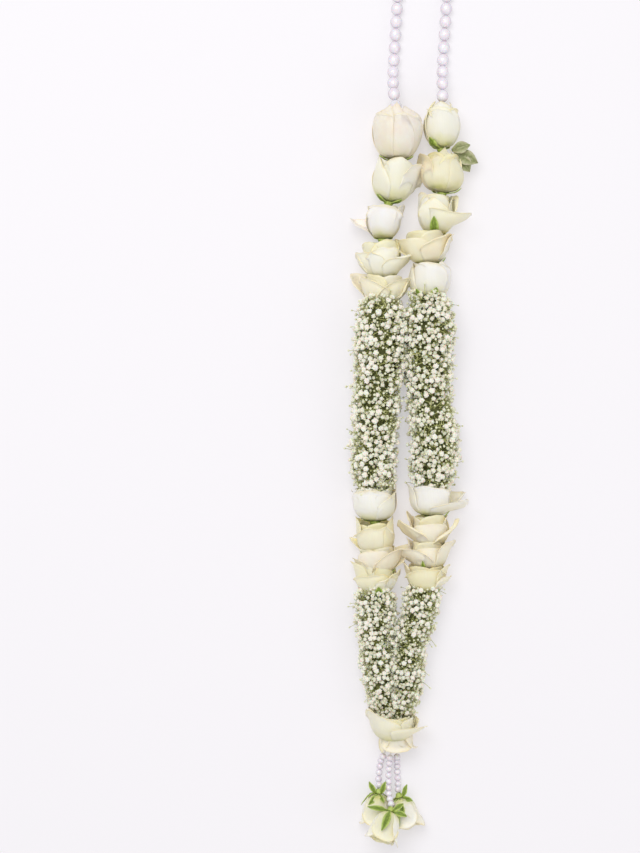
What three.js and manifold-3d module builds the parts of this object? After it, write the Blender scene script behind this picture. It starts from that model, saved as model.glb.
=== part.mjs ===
// A flower garland: one loop of cotton thread strung with white roses, baby's breath and pearls,
// closed at the bottom by a pair of roses from which three short pearl strings hang, each with a rose.
// It lies on its back on a level surface. Millimetres; +Z up from the surface, +Y along the garland
// towards the neck loop, +X towards the right-hand strand. The origin is under the middle of the whole.
import * as THREE from "three";
import { mergeVertices } from "three/addons/utils/BufferGeometryUtils.js";
import Module from "manifold-3d";

// ---------------------------------------------------------------- driving dimensions, mm
const CLEARANCE = 0.35; // between any two pieces
const FLATTENING = 1.2; // how far soft flowers settle into the surface that they lie on
const THREAD = { radius: 0.7, bore: 1.5, sides: 3 };
const NECK_PEARL = { pitch: 12.9, radius: 5.75, waist: 2.5, sides: 6 };
const TASSEL_PEARL = { pitch: 6.4, radius: 3.3, waist: 1.9, sides: 5 };
const CALYX = { length: 5, top: 5.4, end: 3.8, hole: 2.4, sides: 5 };
const SEPAL_HALF_THICKNESS = 0.5;
const SEPAL_SPLITS = 4;
const FLORET_PITCH = 15.6; // larger than life: a real floret is 5 to 6 mm across
const FLORET_DEPTH = 5;

const COLOURS = {
  petal: 0xf1ecd9,
  blush: 0xefdfce,
  calyx: 0x7d9a3a,
  floret: 0xe4e6da,
  pearl: 0xe6dfe8,
  thread: 0xf4f1ea,
};

const material = (color, roughness, metalness = 0) =>
  new THREE.MeshStandardMaterial({ color, roughness, metalness, flatShading: true });

// ---------------------------------------------------------------- small tools
const wasm = await Module();
wasm.setup();

const rad = THREE.MathUtils.degToRad;
const clamp01 = (t) => Math.min(1, Math.max(0, t));

// A repeatable random number from 0 to 1, from a seed.
function randomFrom(seed) {
  let state = seed * 2654435761;
  return () => {
    state = (state + 0x6d2b79f5) | 0;
    let t = Math.imul(state ^ (state >>> 15), 1 | state);
    t = (t + Math.imul(t ^ (t >>> 7), 61 | t)) ^ t;
    return ((t ^ (t >>> 14)) >>> 0) / 4294967296;
  };
}

function solidOf(geometry) {
  const bare = geometry.clone();
  bare.deleteAttribute("normal");
  bare.deleteAttribute("uv");
  const merged = mergeVertices(bare, 1e-4);
  return new wasm.Manifold(
    new wasm.Mesh({
      numProp: 3,
      vertProperties: merged.attributes.position.array,
      triVerts: new Uint32Array(merged.index.array),
    }),
  );
}

function geometryOf(solid) {
  const mesh = solid.getMesh();
  const positions = new Float32Array(mesh.numVert * 3);
  for (let i = 0; i < mesh.numVert; i++)
    positions.set(mesh.vertProperties.subarray(i * mesh.numProp, i * mesh.numProp + 3), i * 3);
  return new THREE.BufferGeometry()
    .setAttribute("position", new THREE.BufferAttribute(positions, 3))
    .setIndex(new THREE.BufferAttribute(mesh.triVerts, 1));
}

const join = (solids) => solids.reduce((all, one) => all.add(one));

// The largest connected body: a cut can leave loose scraps of petal, which are dropped.
function mainBody(solid) {
  const bodies = solid.decompose();
  return bodies.reduce((a, b) => (b.volume() > a.volume() ? b : a));
}

// A closed surface from points and triangles.
const geometryFrom = (points, triangles) =>
  new THREE.BufferGeometry()
    .setAttribute(
      "position",
      new THREE.BufferAttribute(new Float32Array(points.flatMap((p) => [p.x, p.y, p.z])), 3),
    )
    .setIndex(triangles);

// The triangles of a many-sided flat end, in a zigzag across it.
function zigzag(sides) {
  const triangles = [];
  let [low, high] = [0, sides - 1];
  while (high - low > 1) {
    triangles.push(low, high, low + 1);
    low += 1;
    if (high - low > 1) triangles.push(low, high, high - 1);
    high -= 1;
  }
  return triangles;
}

// A closed skin over rings of points, each ring turning the same way. It starts flat, or at a first point,
// and ends at a last point. On rings staggered by half a step the triangles alternate, to stay even.
function skin(rings, { first, last, staggered = false }) {
  const n = rings[0].length;
  const triangles = [];
  for (let j = 0; j < rings.length - 1; j++)
    for (let i = 0; i < n; i++) {
      const [a, b] = [j * n + i, j * n + ((i + 1) % n)];
      const [c, d] = [a + n, b + n];
      if (staggered && j % 2 === 0) triangles.push(a, b, c, b, d, c);
      else triangles.push(a, b, d, a, d, c);
    }
  const top = rings.length * n;
  for (let i = 0; i < n; i++) {
    const next = (i + 1) % n;
    triangles.push(top, top - n + i, top - n + next);
    if (first) triangles.push(top + 1, next, i);
  }
  if (!first) triangles.push(...zigzag(n));
  return geometryFrom([...rings.flat(), last, ...(first ? [first] : [])], triangles);
}

// The same closed surface, moved outwards by a distance: what a neighbour has to keep clear of.
function swell(geometry, by) {
  const bare = mergeVertices(geometry.clone(), 1e-4);
  bare.computeVertexNormals();
  const { position, normal } = bare.attributes;
  for (let i = 0; i < position.count; i++)
    position.setXYZ(
      i,
      position.getX(i) + by * normal.getX(i),
      position.getY(i) + by * normal.getY(i),
      position.getZ(i) + by * normal.getZ(i),
    );
  bare.deleteAttribute("normal");
  return bare;
}

// A thin leaf about the surface at(u, v), u from -1 to 1 and v from 0 to 1, thick in the middle and
// sharp at its edge. Both faces are split into triangles alike. With grow it is that much larger all round.
function leaf({ at, up, half, grow = 0 }) {
  const step = 0.02;
  const along = (v) => at(0, v + step).sub(at(0, v - step)).normalize();
  const across = (v) => at(step, v).sub(at(-step, v)).normalize();
  const rings = Array.from({ length: up - 1 }, (_, k) => {
    const v = (k + 1) / up;
    const normal = across(v).cross(along(v)).normalize();
    return [
      at(0, v).addScaledVector(normal, half + grow),
      at(1, v).addScaledVector(across(v), 2 * grow),
      at(0, v).addScaledVector(normal, -half - grow),
      at(-1, v).addScaledVector(across(v), -2 * grow),
    ];
  });
  const beyond = (end, inner) => {
    const out = at(0, end).sub(at(0, inner)).normalize();
    return at(0, end).addScaledVector(out, 3 * grow);
  };
  return skin(rings, { first: beyond(0, 1 / up), last: beyond(1, 1 - 1 / up) });
}

// A tube through stations {at, radius}, closed into a ring or ended with a flat cap at each end.
function tube(stations, sides, closed = false) {
  const n = stations.length;
  let across = new THREE.Vector3(0, 0, 1);
  const rings = stations.map(({ at, radius }, k) => {
    const before = stations[closed ? (k + n - 1) % n : Math.max(0, k - 1)].at;
    const after = stations[closed ? (k + 1) % n : Math.min(n - 1, k + 1)].at;
    const along = after.clone().sub(before).normalize();
    across = across.clone().addScaledVector(along, -across.dot(along)).normalize();
    const other = along.clone().cross(across);
    return Array.from({ length: sides }, (_, i) => {
      const turn = (2 * Math.PI * i) / sides;
      return at
        .clone()
        .addScaledVector(across, radius * Math.cos(turn))
        .addScaledVector(other, radius * Math.sin(turn));
    });
  });
  if (!closed) return skin(rings, { first: stations[0].at, last: stations.at(-1).at });
  const triangles = [];
  for (let k = 0; k < n; k++)
    for (let i = 0; i < sides; i++) {
      const [a, b] = [k * sides + i, k * sides + ((i + 1) % sides)];
      const [c, d] = [a, b].map((x) => (x + sides) % (n * sides));
      triangles.push(a, b, d, a, d, c);
    }
  return geometryFrom(rings.flat(), triangles);
}

// ---------------------------------------------------------------- roses
// Each rose stands on its base and opens towards its rim; both are points [x, y] in mm. radius is that of
// its body, close how far the rim draws in (a bud) or opens (below 0), hand the way its petals overlap.
// petals: [turn, half-width, reach, flare, roll]: turn is the petal's place round the rose in degrees, 0
// facing up and 90 to the right; reach is its height as a share of the rose's; flare and roll, in mm, are
// how far its rim leans out and its margins fold back. Two plain petals close each rose underneath.
const ROSES = [
  {
    name: "left_1", base: [-17.5, 212], rim: [-16, 265], radius: 24.5, close: 0.4, hand: -1,
    petals: [[-62, 46, 1.0, 3, 4], [10, 42, 1.02, 0, 0], [80, 46, 0.94, 3, 2]],
  },
  {
    name: "left_2", base: [-24, 171], rim: [-15, 212], radius: 21, close: 0.15, hand: 1,
    petals: [[-80, 46, 1.0, 0, 2], [-8, 55, 1.04, 0, 0], [68, 44, 0.96, 5, 3]],
  },
  {
    name: "left_3", base: [-30, 134], rim: [-28, 169], radius: 17.5, close: 0.1, hand: 1,
    petals: [[-86, 36, 0.62, 14, 6], [0, 62, 0.9, 0, 0], [82, 46, 1.0, 1, 2]],
  },
  {
    name: "left_4", base: [-28, 91], rim: [-33, 130], radius: 20.5, close: 0, hand: -1,
    petals: [[-92, 42, 0.72, 4, 3], [-22, 58, 0.84, 2, 1], [64, 42, 0.66, 8, 5]],
  },
  {
    name: "left_5", base: [-31, 67], rim: [-29, 98], radius: 20, close: 0, hand: 1,
    petals: [[-98, 36, 0.96, 9, 5], [-28, 50, 0.84, 2, 2], [34, 50, 0.8, 1, 2], [92, 40, 0.94, 4, 4]],
  },
  {
    name: "right_1", base: [29, 225], rim: [30, 270], radius: 18, close: 0.55, hand: 1,
    petals: [[-28, 66, 1.0, 0, 0], [72, 60, 1.0, 0, 0]],
  },
  {
    name: "right_2", base: [29, 181], rim: [32, 223], radius: 19.5, close: 0.7, hand: -1,
    petals: [[-84, 38, 0.74, 6, 2], [-6, 60, 1.02, 0, 0], [66, 50, 0.95, 0, 0]],
  },
  {
    name: "right_3", base: [23, 138], rim: [23, 180], radius: 18, close: 0.1, hand: 1,
    petals: [[-66, 52, 1.0, 0, 0], [2, 52, 0.76, 1, 1], [80, 40, 0.6, 14, 6]],
  },
  {
    name: "right_4", base: [17, 108], rim: [13, 140], radius: 20, close: -0.1, hand: -1,
    petals: [[-58, 42, 0.98, 11, 3], [8, 46, 0.84, 4, 3], [76, 46, 0.72, 8, 4]],
  },
  {
    name: "right_5", base: [15, 74], rim: [18, 109], radius: 21, close: 0.12, hand: 1,
    petals: [[-92, 46, 0.9, 0, 1], [-12, 62, 0.92, 0, 0], [68, 48, 1.0, 2, 2]],
  },
  {
    name: "middle_left_1", base: [-38, -149], rim: [-38, -117], radius: 21.5, close: 0, hand: 1,
    petals: [[-92, 46, 0.96, 0, 1], [-8, 64, 0.95, 0, 0], [80, 46, 1.0, 3, 4]],
  },
  {
    name: "middle_left_2", base: [-36, -184], rim: [-39, -146], radius: 18.5, close: 0, hand: -1,
    petals: [[-88, 40, 0.94, 3, 3], [0, 60, 0.93, 1, 2], [86, 44, 0.88, 1, 3]],
  },
  {
    name: "middle_left_3", base: [-33, -203], rim: [-37, -174], radius: 19.5, close: 0, hand: 1,
    petals: [[-88, 42, 0.7, 4, 3], [-14, 60, 0.78, 2, 2], [66, 42, 0.96, 10, 4]],
  },
  {
    name: "middle_left_4", base: [-34, -223], rim: [-38, -188], radius: 20, close: -0.1, hand: -1,
    petals: [[-76, 50, 1.0, 3, 2], [4, 54, 0.58, 3, 3], [78, 46, 0.72, 2, 3]],
  },
  {
    name: "middle_right_1", base: [15, -144], rim: [18, -114], radius: 20.5, close: 0, hand: 1,
    petals: [[-90, 46, 1.04, 1, 3], [-14, 62, 0.96, 0, 0], [78, 40, 0.62, 16, 4]],
  },
  {
    name: "middle_right_2", base: [18, -175], rim: [17, -142], radius: 19.5, close: 0, hand: -1,
    petals: [[-80, 40, 0.92, 11, 5], [-4, 60, 0.78, 2, 1], [72, 46, 0.88, 7, 4]],
  },
  {
    name: "middle_right_3", base: [15, -198], rim: [15, -169], radius: 18.5, close: 0, hand: 1,
    petals: [[-82, 42, 0.88, 9, 5], [-2, 60, 0.76, 1, 1], [76, 44, 1.05, 6, 4]],
  },
  {
    name: "middle_right_4", base: [14, -220], rim: [13, -190], radius: 18.5, close: -0.1, hand: -1,
    petals: [[-84, 46, 1.0, 4, 2], [0, 58, 0.64, 2, 1], [76, 44, 0.86, 4, 3]],
  },
  {
    name: "join_upper", base: [-17, -366], rim: [-19, -336], radius: 22.5, close: -0.15, hand: -1,
    petals: [[-82, 50, 1.0, 3, 2], [-12, 56, 0.66, 3, 1], [62, 46, 0.58, 6, 5]], calyx: false,
  },
  {
    name: "join_lower", base: [-17, -367.5], rim: [-17, -382], radius: 16, close: -0.05, hand: 1,
    petals: [[-84, 50, 0.94, 1, 1], [-8, 56, 0.96, 1, 2], [74, 50, 0.9, 1, 3]], calyx: false,
  },
  {
    name: "tassel_left", base: [-34, -424], rim: [-38, -456], radius: 12.8, close: 0, hand: 1,
    heights: [11, 12.6], petals: [[88, 44, 0.96, 3, 3], [8, 58, 0.98, 1, 1], [-80, 44, 0.9, 1, 2]],
  },
  {
    name: "tassel_right", base: [-13, -428], rim: [-5, -458], radius: 13.4, close: -0.05, hand: -1,
    heights: [11.5, 13.2], petals: [[-86, 46, 1.02, 5, 4], [-8, 56, 0.98, 2, 2], [78, 42, 0.9, 1, 2]],
  },
  {
    name: "tassel_front", base: [-23, -439], rim: [-32, -467], radius: 13.2, close: -0.1, hand: 1,
    heights: [29.5, 40], petals: [[84, 44, 0.92, 5, 3], [4, 56, 1.04, 3, 2], [-78, 44, 0.98, 4, 4]],
  },
];
const UNDER_PETALS = [[152, 46, 0.92, 0, 0], [212, 46, 0.94, 0, 0]];
const PETAL = { belly: 0.5, foot: 0.42, drop: 0.32, lap: 1.1 };
const PETAL_LEVELS = [0, 0.3, 0.74, 1];
// The whorl inside the outer petals: a valley a little below their rims, then a bud standing in it.
// Heights are shares of the rose's length, and widths of its body's.
const WHORL = { valleyBelow: 0.12, valley: 0.76, bud: 0.46, budHeight: 0.84, wave: 0.1, top: 0.9 };

// The rose's own frame: x to its right, y from base to rim, z up.
function roseFrame({ base, rim, radius, heights }) {
  const rest = radius - FLATTENING;
  const [low, high] = heights ?? [rest, rest];
  const from = new THREE.Vector3(base[0], base[1], low);
  const along = new THREE.Vector3(rim[0], rim[1], high).sub(from);
  const length = along.length();
  along.normalize();
  const side = along.clone().cross(new THREE.Vector3(0, 0, 1)).normalize();
  const up = side.clone().cross(along);
  return { length, matrix: new THREE.Matrix4().makeBasis(side, along, up).setPosition(from) };
}

// How wide the rose's body is at a share t of its length, as a share of its radius.
const cupAt = ({ close }, t) =>
  t < PETAL.belly
    ? Math.sqrt(1 - (1 - t / PETAL.belly) ** 2 * (1 - PETAL.foot ** 2))
    : 1 - close * ((t - PETAL.belly) / (1 - PETAL.belly)) ** 2;

const polar = (angle, radius, height) =>
  new THREE.Vector3(radius * Math.sin(rad(angle)), height, radius * Math.cos(rad(angle)));

// A point of a petal's outer face: across it from u = -1 to 1, and up it from v = 0 to 1.
function petalPoint(rose, length, [turn, half, reach, flare, roll], u, v) {
  const side = Math.abs(u);
  const height = v * (1 - PETAL.drop * side ** 2.6);
  const t = height * reach;
  const open = clamp01((v - 0.45) / 0.55) ** 2 * (1 - 0.6 * side ** 2);
  const fold = roll * side ** 2 * clamp01((v - 0.4) / 0.4);
  const lap = PETAL.lap * rose.hand * u * Math.min(1, 2 * t);
  const radius = rose.radius * cupAt(rose, t) + flare * open + 0.5 * fold + lap;
  return polar(turn + half * u, radius, length * t - 0.7 * fold);
}

// Where a rose's petals show, going round it: each runs from the edge that overlaps it, or from its own,
// to the next. As [petal, u], a few columns to a petal.
function petalColumns(rose) {
  const petals = [...rose.petals, ...UNDER_PETALS].sort((a, b) => a[0] - b[0]);
  const step = 3;
  return petals.flatMap((petal, k) => {
    const [turn, half] = petal;
    const before = petals[(k + petals.length - 1) % petals.length];
    const after = petals[(k + 1) % petals.length];
    const beforeTurn = before[0] - (k === 0 ? 360 : 0);
    const afterTurn = after[0] + (k === petals.length - 1 ? 360 : 0);
    const from = rose.hand > 0 ? beforeTurn + before[1] + step / 2 : turn - half;
    const to = rose.hand > 0 ? turn + half : afterTurn - after[1] - step / 2;
    const shares = UNDER_PETALS.includes(petal) ? [0.25, 0.75] : [0, 0.33, 0.67, 1];
    return shares.map((share) => [petal, (THREE.MathUtils.lerp(from, to, share) - turn) / half]);
  });
}

// One rose: outer petals that overlap in steps, their rims standing free round a valley, and in it the bud
// of inner petals. outline is the same without the hollow, for neighbours to keep clear of.
function roseSurface(rose) {
  const { length, matrix } = roseFrame(rose);
  const columns = petalColumns(rose);
  const ringOf = (v) => columns.map(([petal, u]) => petalPoint(rose, length, petal, u, v));
  const outer = PETAL_LEVELS.map(ringOf);
  const rims = outer.at(-1);
  const highest = Math.max(...rims.map(({ y }) => y)) / length;
  const ringAt = (heightOf, width, wave = 0) =>
    columns.map(([[turn, half], u], i) => {
      const t = heightOf(i);
      const body = rose.radius * Math.min(cupAt(rose, t), cupAt(rose, 1) + 0.1);
      return polar(turn + half * u, width * body * (1 + wave * (i % 3)), t * length);
    });
  const valley = ringAt((i) => rims[i].y / length - WHORL.valleyBelow, WHORL.valley);
  const bud = ringAt(() => highest * WHORL.budHeight, WHORL.bud, WHORL.wave);
  const middle = (t) => new THREE.Vector3(0, t * length, 0);
  const surface = skin([...outer, valley, bud], { last: middle(highest * WHORL.top) });
  const beyond = rims.map((rim, i) => {
    const out = rim.clone().sub(outer.at(-2)[i]).normalize();
    return rim.clone().addScaledVector(out, 2 * CLEARANCE);
  });
  const outline = skin([...outer.slice(0, -1), beyond, bud], { last: middle(highest * WHORL.top) });
  return {
    surface: surface.applyMatrix4(matrix),
    outline: swell(outline.applyMatrix4(matrix), CLEARANCE),
    matrix,
  };
}

// ---------------------------------------------------------------- green calyx under a rose
// A stub of the receptacle, with the sepals that show: [turn, length, width, lift]; lift is how far the
// tip stands off the petals. The calyx sits one clearance behind the rose's base.
const SEPALS = {
  left_2: [[0, 9, 7, 2], [-60, 8, 6, 2]],
  right_1: [[-70, 13, 8, 1], [84, 24, 15, 17], [64, 17, 12, 10]],
  right_3: [[-12, 17, 9, 2]],
  right_5: [[14, 10, 9, 2], [-40, 8, 6, 2]],
  middle_left_4: [[0, 9, 8, 2]],
  middle_right_3: [[-22, 10, 4, 1]],
  tassel_left: [[-60, 14, 4, 9], [40, 16, 4, 8], [110, 14, 4, 3], [-120, 12, 4, 2]],
  tassel_right: [[-70, 15, 4, 9], [10, 18, 5, 3], [80, 14, 4, 8], [-130, 12, 4, 2]],
  tassel_front: [[70, 22, 5, 6], [10, 24, 7, 2], [-60, 16, 6, 7], [-120, 12, 4, 2]],
};

function sepalPoint(rose, length, [turn, reach, width, lift], u, v) {
  const breadth = (width / 2) * Math.sin(Math.PI * clamp01(0.15 + 0.85 * v) ** 1.2) + 0.4;
  const out = rose.radius * cupAt(rose, Math.max(0, (reach * v) / length)) + 2.6;
  const root = CALYX.top * 0.6;
  const radius = THREE.MathUtils.lerp(root, out, clamp01(3 * v)) + lift * v ** 2;
  const across = new THREE.Vector3(Math.cos(rad(turn)), 0, -Math.sin(rad(turn)));
  return polar(turn, radius, reach * v - 2.4 * (1 - v)).addScaledVector(across, u * breadth);
}

function calyxSurface(rose) {
  const { length, matrix } = roseFrame(rose);
  const profile = [
    [CALYX.hole, -CALYX.length],
    [CALYX.end, -CALYX.length],
    [CALYX.top, -CLEARANCE],
    [CALYX.hole, -CLEARANCE],
    [CALYX.hole, -CALYX.length],
  ].map(([radius, height]) => new THREE.Vector2(radius, height));
  const stub = new THREE.LatheGeometry(profile, CALYX.sides);
  const filled = tube(
    [
      { at: new THREE.Vector3(0, -CALYX.length, 0), radius: CALYX.end },
      { at: new THREE.Vector3(0, -CLEARANCE, 0), radius: CALYX.top },
    ],
    CALYX.sides,
  );
  const sepals = (grow) =>
    (SEPALS[rose.name] ?? []).map((sepal) =>
      leaf({
        at: (u, v) => sepalPoint(rose, length, sepal, u, v),
        up: SEPAL_SPLITS,
        half: SEPAL_HALF_THICKNESS,
        grow,
      }),
    );
  const joined = (pieces) => geometryOf(join(pieces.map(solidOf))).applyMatrix4(matrix);
  return {
    surface: joined([stub, ...sepals(0)]),
    outline: joined([swell(filled, CLEARANCE), ...sepals(CLEARANCE)]),
    matrix,
  };
}

// ---------------------------------------------------------------- baby's breath
// Sleeves of florets round the thread. Each station is [x, y, half-width]. Neighbouring sleeves meet at
// a plane, given by two points [x, y] on it; keep says which side of it a sleeve has.
const UPPER_SEAM = [[-9.5, 80], [-7.5, -10]];
const LOWER_SEAM = [[-15, -240], [-20, -340]];
const SLEEVES = [
  {
    name: "upper_left", seam: UPPER_SEAM, keep: -1, seed: 11, dish: 18,
    stations: [
      [-32, 74, 19], [-33, 62, 22], [-33.5, 44, 23], [-34, 22, 23.5], [-35, -8, 22.5], [-36.5, -28, 23],
      [-38, -58, 23.5], [-38.5, -88, 22], [-38.5, -106, 21], [-38, -116.5, 18],
    ],
  },
  {
    name: "upper_right", seam: UPPER_SEAM, keep: 1, seed: 12, dish: 18,
    stations: [
      [16, 79, 19], [16.5, 68, 22.5], [17, 50, 24.5], [15, 22, 23.5], [15, -8, 23], [16, -28, 22.5],
      [20.5, -58, 24], [21, -88, 24], [19, -104, 21.5], [18, -113.5, 18],
    ],
  },
  {
    name: "lower_left", seam: LOWER_SEAM, keep: -1, seed: 13, dish: 16,
    stations: [
      [-35, -217, 17], [-36.5, -228, 19.5], [-37, -254, 19.5], [-36, -278, 18.5], [-33, -305, 17],
      [-30, -322, 15], [-27, -334, 12],
    ],
  },
  {
    name: "lower_right", seam: LOWER_SEAM, keep: 1, seed: 14, dish: 16,
    stations: [
      [12, -214, 16], [9.5, -226, 18.5], [5, -250, 19], [-2, -276, 19], [-5, -303, 17], [-8, -322, 15],
      [-11, -334, 12],
    ],
  },
];
const SPRIG = { count: 5, rise: 5, stem: 0.9, bud: 2.1, tip: 0.3 };

// The sleeve's centre line and half-width at any share of its length.
function sleevePath({ stations }) {
  const curve = (toPoint) =>
    new THREE.CatmullRomCurve3(stations.map((station, i) => new THREE.Vector3(...toPoint(station, i))));
  const centre = curve(([x, y, r]) => [x, y, r - FLATTENING]);
  const widths = curve(([, , r], i) => [r, i, 0]);
  return (t) => ({ at: centre.getPoint(t), radius: widths.getPoint(t).x, along: centre.getTangent(t) });
}

function sleeveRing({ at, along }, angle, radius) {
  const side = along.clone().cross(new THREE.Vector3(0, 0, 1)).normalize();
  const up = side.clone().cross(along);
  return at
    .clone()
    .addScaledVector(side, radius * Math.sin(angle))
    .addScaledVector(up, radius * Math.cos(angle));
}

// Florets that would reach below the surface that the garland lies on are pressed up to it.
function settled(geometry) {
  const { position } = geometry.attributes;
  for (let i = 0; i < position.count; i++) if (position.getZ(i) < 0) position.setZ(i, 0);
  return geometry;
}

// A sleeve's surface is one relief: each floret is a peak ringed by six hollows. A few sprigs stand out.
function sleeveSolid(sleeve) {
  const random = randomFrom(sleeve.seed);
  const path = sleevePath(sleeve);
  const spacing = FLORET_PITCH / Math.sqrt(3);
  const { stations } = sleeve;
  const span = Math.abs(stations[0][1] - stations.at(-1)[1]);
  const girth = 2 * Math.PI * Math.max(...stations.map(([, , radius]) => radius));
  const sides = 3 * Math.round(girth / spacing / 3);
  const rows = 2 * Math.round(span / spacing / Math.sin(Math.PI / 3) / 2);
  const rings = Array.from({ length: rows + 1 }, (_, j) =>
    Array.from({ length: sides }, (_, i) => {
      const place = path(j / rows);
      const peak = (i - (j - (j % 2)) / 2 - j + 3 * rows) % 3 === 0;
      const angle = (2 * Math.PI * (i + (j % 2) / 2 + 0.25 * (random() - 0.5))) / sides;
      const depth = peak ? 1.6 * random() : FLORET_DEPTH - 1.2 * random();
      return sleeveRing(place, angle, place.radius - depth);
    }),
  );
  const first = path(0).at.addScaledVector(path(0).along, sleeve.dish);
  const body = solidOf(settled(skin(rings, { first, last: path(1).at, staggered: true })));
  const sprigs = Array.from({ length: SPRIG.count }, (_, k) => {
    const place = path(0.12 + (0.76 * (k + random())) / SPRIG.count);
    const angle = rad(90 * (k % 2 ? 1 : -1) + 50 * (random() - 0.5));
    const out = (by) => sleeveRing(place, angle, place.radius + by);
    const stem = [
      { at: out(-FLORET_DEPTH), radius: SPRIG.stem },
      { at: out(SPRIG.rise - SPRIG.bud), radius: SPRIG.stem },
      { at: out(SPRIG.rise), radius: SPRIG.bud },
      { at: out(SPRIG.rise + SPRIG.bud), radius: SPRIG.tip },
    ];
    return solidOf(tube(stem, THREAD.sides));
  });
  return join([body, ...sprigs]);
}

// A block on one side of a seam, for cutting a sleeve off there.
function seamBlock([[x0, y0], [x1, y1]], keep) {
  const size = 300;
  const along = new THREE.Vector2(x1 - x0, y1 - y0);
  const turn = Math.atan2(along.y, along.x) - Math.PI / 2;
  const block = new THREE.BoxGeometry(size, size * 2, size);
  block.translate(-keep * (size / 2 - CLEARANCE / 2), 0, 0);
  block.rotateZ(Math.abs(turn) > Math.PI / 2 ? turn + Math.PI : turn);
  return solidOf(block.translate((x0 + x1) / 2, (y0 + y1) / 2, 0));
}

// ---------------------------------------------------------------- thread and pearls
// The point on a rose's axis at a share of its length from the base.
function onAxis(name, share) {
  const { length, matrix } = roseFrame(ROSES.find((rose) => rose.name === name));
  return new THREE.Vector3(0, length * share, 0).applyMatrix4(matrix);
}
const roseBase = (name) => onAxis(name, 0);

// The neck strand's way from the first left rose round to the first right rose: [x, y, z].
const ARCH = { centre: [12, 441], radius: 23 };
const PEARL_REST = NECK_PEARL.radius + 0.2; // the height of the strand's centre line where it lies
const archPoint = (degrees) => [
  ARCH.centre[0] + ARCH.radius * Math.cos(rad(degrees)),
  ARCH.centre[1] + ARCH.radius * Math.sin(rad(degrees)),
  PEARL_REST,
];
const NECK_ROUTE = [
  onAxis("left_1", 0.9).toArray(),
  [-18.5, 275, 22], [-19.5, 290, 15.5], [-19, 306, 8.5], [-18, 322, PEARL_REST],
  [-16.5, 347, PEARL_REST], [-15, 372, PEARL_REST], [-12.5, 405, PEARL_REST], [-11, 428, PEARL_REST],
  ...[165, 140, 115, 90, 65, 40, 15].map(archPoint), // degrees round the arch
  [35, 428, PEARL_REST], [35.5, 405, PEARL_REST], [34.5, 372, PEARL_REST], [33, 347, PEARL_REST],
  [31.5, 322, PEARL_REST], [30.5, 308, 8], [30, 293, 13.5],
  onAxis("right_1", 1.02).toArray(),
].map((p) => new THREE.Vector3(...p));

// Places one pitch apart along a curve, to be the ends of its beads.
function beadEnds(curve, pitch) {
  const count = Math.round(curve.getLength() / pitch);
  return Array.from({ length: count + 1 }, (_, i) => curve.getPointAt(i / count));
}

// Beads strung end to end, as one body: each is widest over the middle of its length.
const BEAD_SHOULDERS = [0.3, 0.7];
function beadStations(ends, { radius, waist }) {
  const stations = [{ at: ends[0], radius: waist }];
  for (let k = 0; k < ends.length - 1; k++) {
    for (const share of BEAD_SHOULDERS)
      stations.push({ at: ends[k].clone().lerp(ends[k + 1], share), radius });
    stations.push({ at: ends[k + 1], radius: waist });
  }
  return stations;
}

// Each tassel string's way, from inside the lower join rose to the calyx of its own rose.
const TASSEL_ROUTES = {
  tassel_left: [[-28.5, -384, 13.5], [-31.5, -391, 7.5], [-33, -401, 3.6], [-34, -410, 4.6]],
  tassel_front: [[-22.5, -384.5, 16.5], [-23.5, -396, 11.5], [-24, -411, 10.8], [-24, -422, 15.5]],
  tassel_right: [[-15.5, -384.5, 13.5], [-15.5, -392, 7.5], [-15, -402, 3.6], [-14.5, -413, 4.8]],
};
const TASSEL_ROOTS = { tassel_left: [-20, -364.5], tassel_front: [-17, -364.5], tassel_right: [-14, -364.5] };
const STRING_END = -0.18; // just behind its rose's calyx, as a share of the rose's length
const THREAD_END = 0.25; // inside its rose

function tasselCurve(name) {
  const points = TASSEL_ROUTES[name].map((p) => new THREE.Vector3(...p));
  return new THREE.CatmullRomCurve3([...points, onAxis(name, STRING_END)]);
}

const neckCurve = new THREE.CatmullRomCurve3(NECK_ROUTE);
const neckEnds = beadEnds(neckCurve, NECK_PEARL.pitch);
const tasselEnds = Object.fromEntries(
  Object.keys(TASSEL_ROUTES).map((name) => [name, beadEnds(tasselCurve(name), TASSEL_PEARL.pitch)]),
);

// The loop of thread passes through every base in turn, the sleeves' centres and the pearls' ends.
const JOIN_TURN = { centre: [-17.5, -357], radius: 4.5, steps: 5 };
const joinTurn = Array.from({ length: JOIN_TURN.steps }, (_, k) => {
  const turn = (-Math.PI * k) / (JOIN_TURN.steps - 1);
  const [x, y] = JOIN_TURN.centre;
  return new THREE.Vector3(
    x + JOIN_TURN.radius * Math.cos(turn),
    y + JOIN_TURN.radius * Math.sin(turn),
    roseBase("join_upper").z,
  );
});
const sleeveCentres = (name, from, to, count) => {
  const path = sleevePath(SLEEVES.find((sleeve) => sleeve.name === name));
  return Array.from({ length: count }, (_, k) => path(THREE.MathUtils.lerp(from, to, k / (count - 1))).at);
};
const namesFrom = (prefix, count) => Array.from({ length: count }, (_, k) => `${prefix}_${k + 1}`);
const LOOP = [
  ...neckEnds,
  ...namesFrom("right", 5).map(roseBase),
  ...sleeveCentres("upper_right", 0.1, 0.9, 5),
  onAxis("middle_right_1", 0.8),
  ...namesFrom("middle_right", 4).map(roseBase),
  ...sleeveCentres("lower_right", 0.12, 0.9, 4),
  ...joinTurn,
  ...sleeveCentres("lower_left", 0.9, 0.12, 4),
  ...namesFrom("middle_left", 4).map(roseBase).reverse(),
  onAxis("middle_left_1", 0.8),
  ...sleeveCentres("upper_left", 0.9, 0.1, 5),
  ...namesFrom("left", 5).map(roseBase).reverse(),
];

function tasselThread(name) {
  const root = new THREE.Vector3(...TASSEL_ROOTS[name], roseBase("join_lower").z);
  return [root, ...tasselEnds[name], onAxis(name, THREAD_END)];
}

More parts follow.
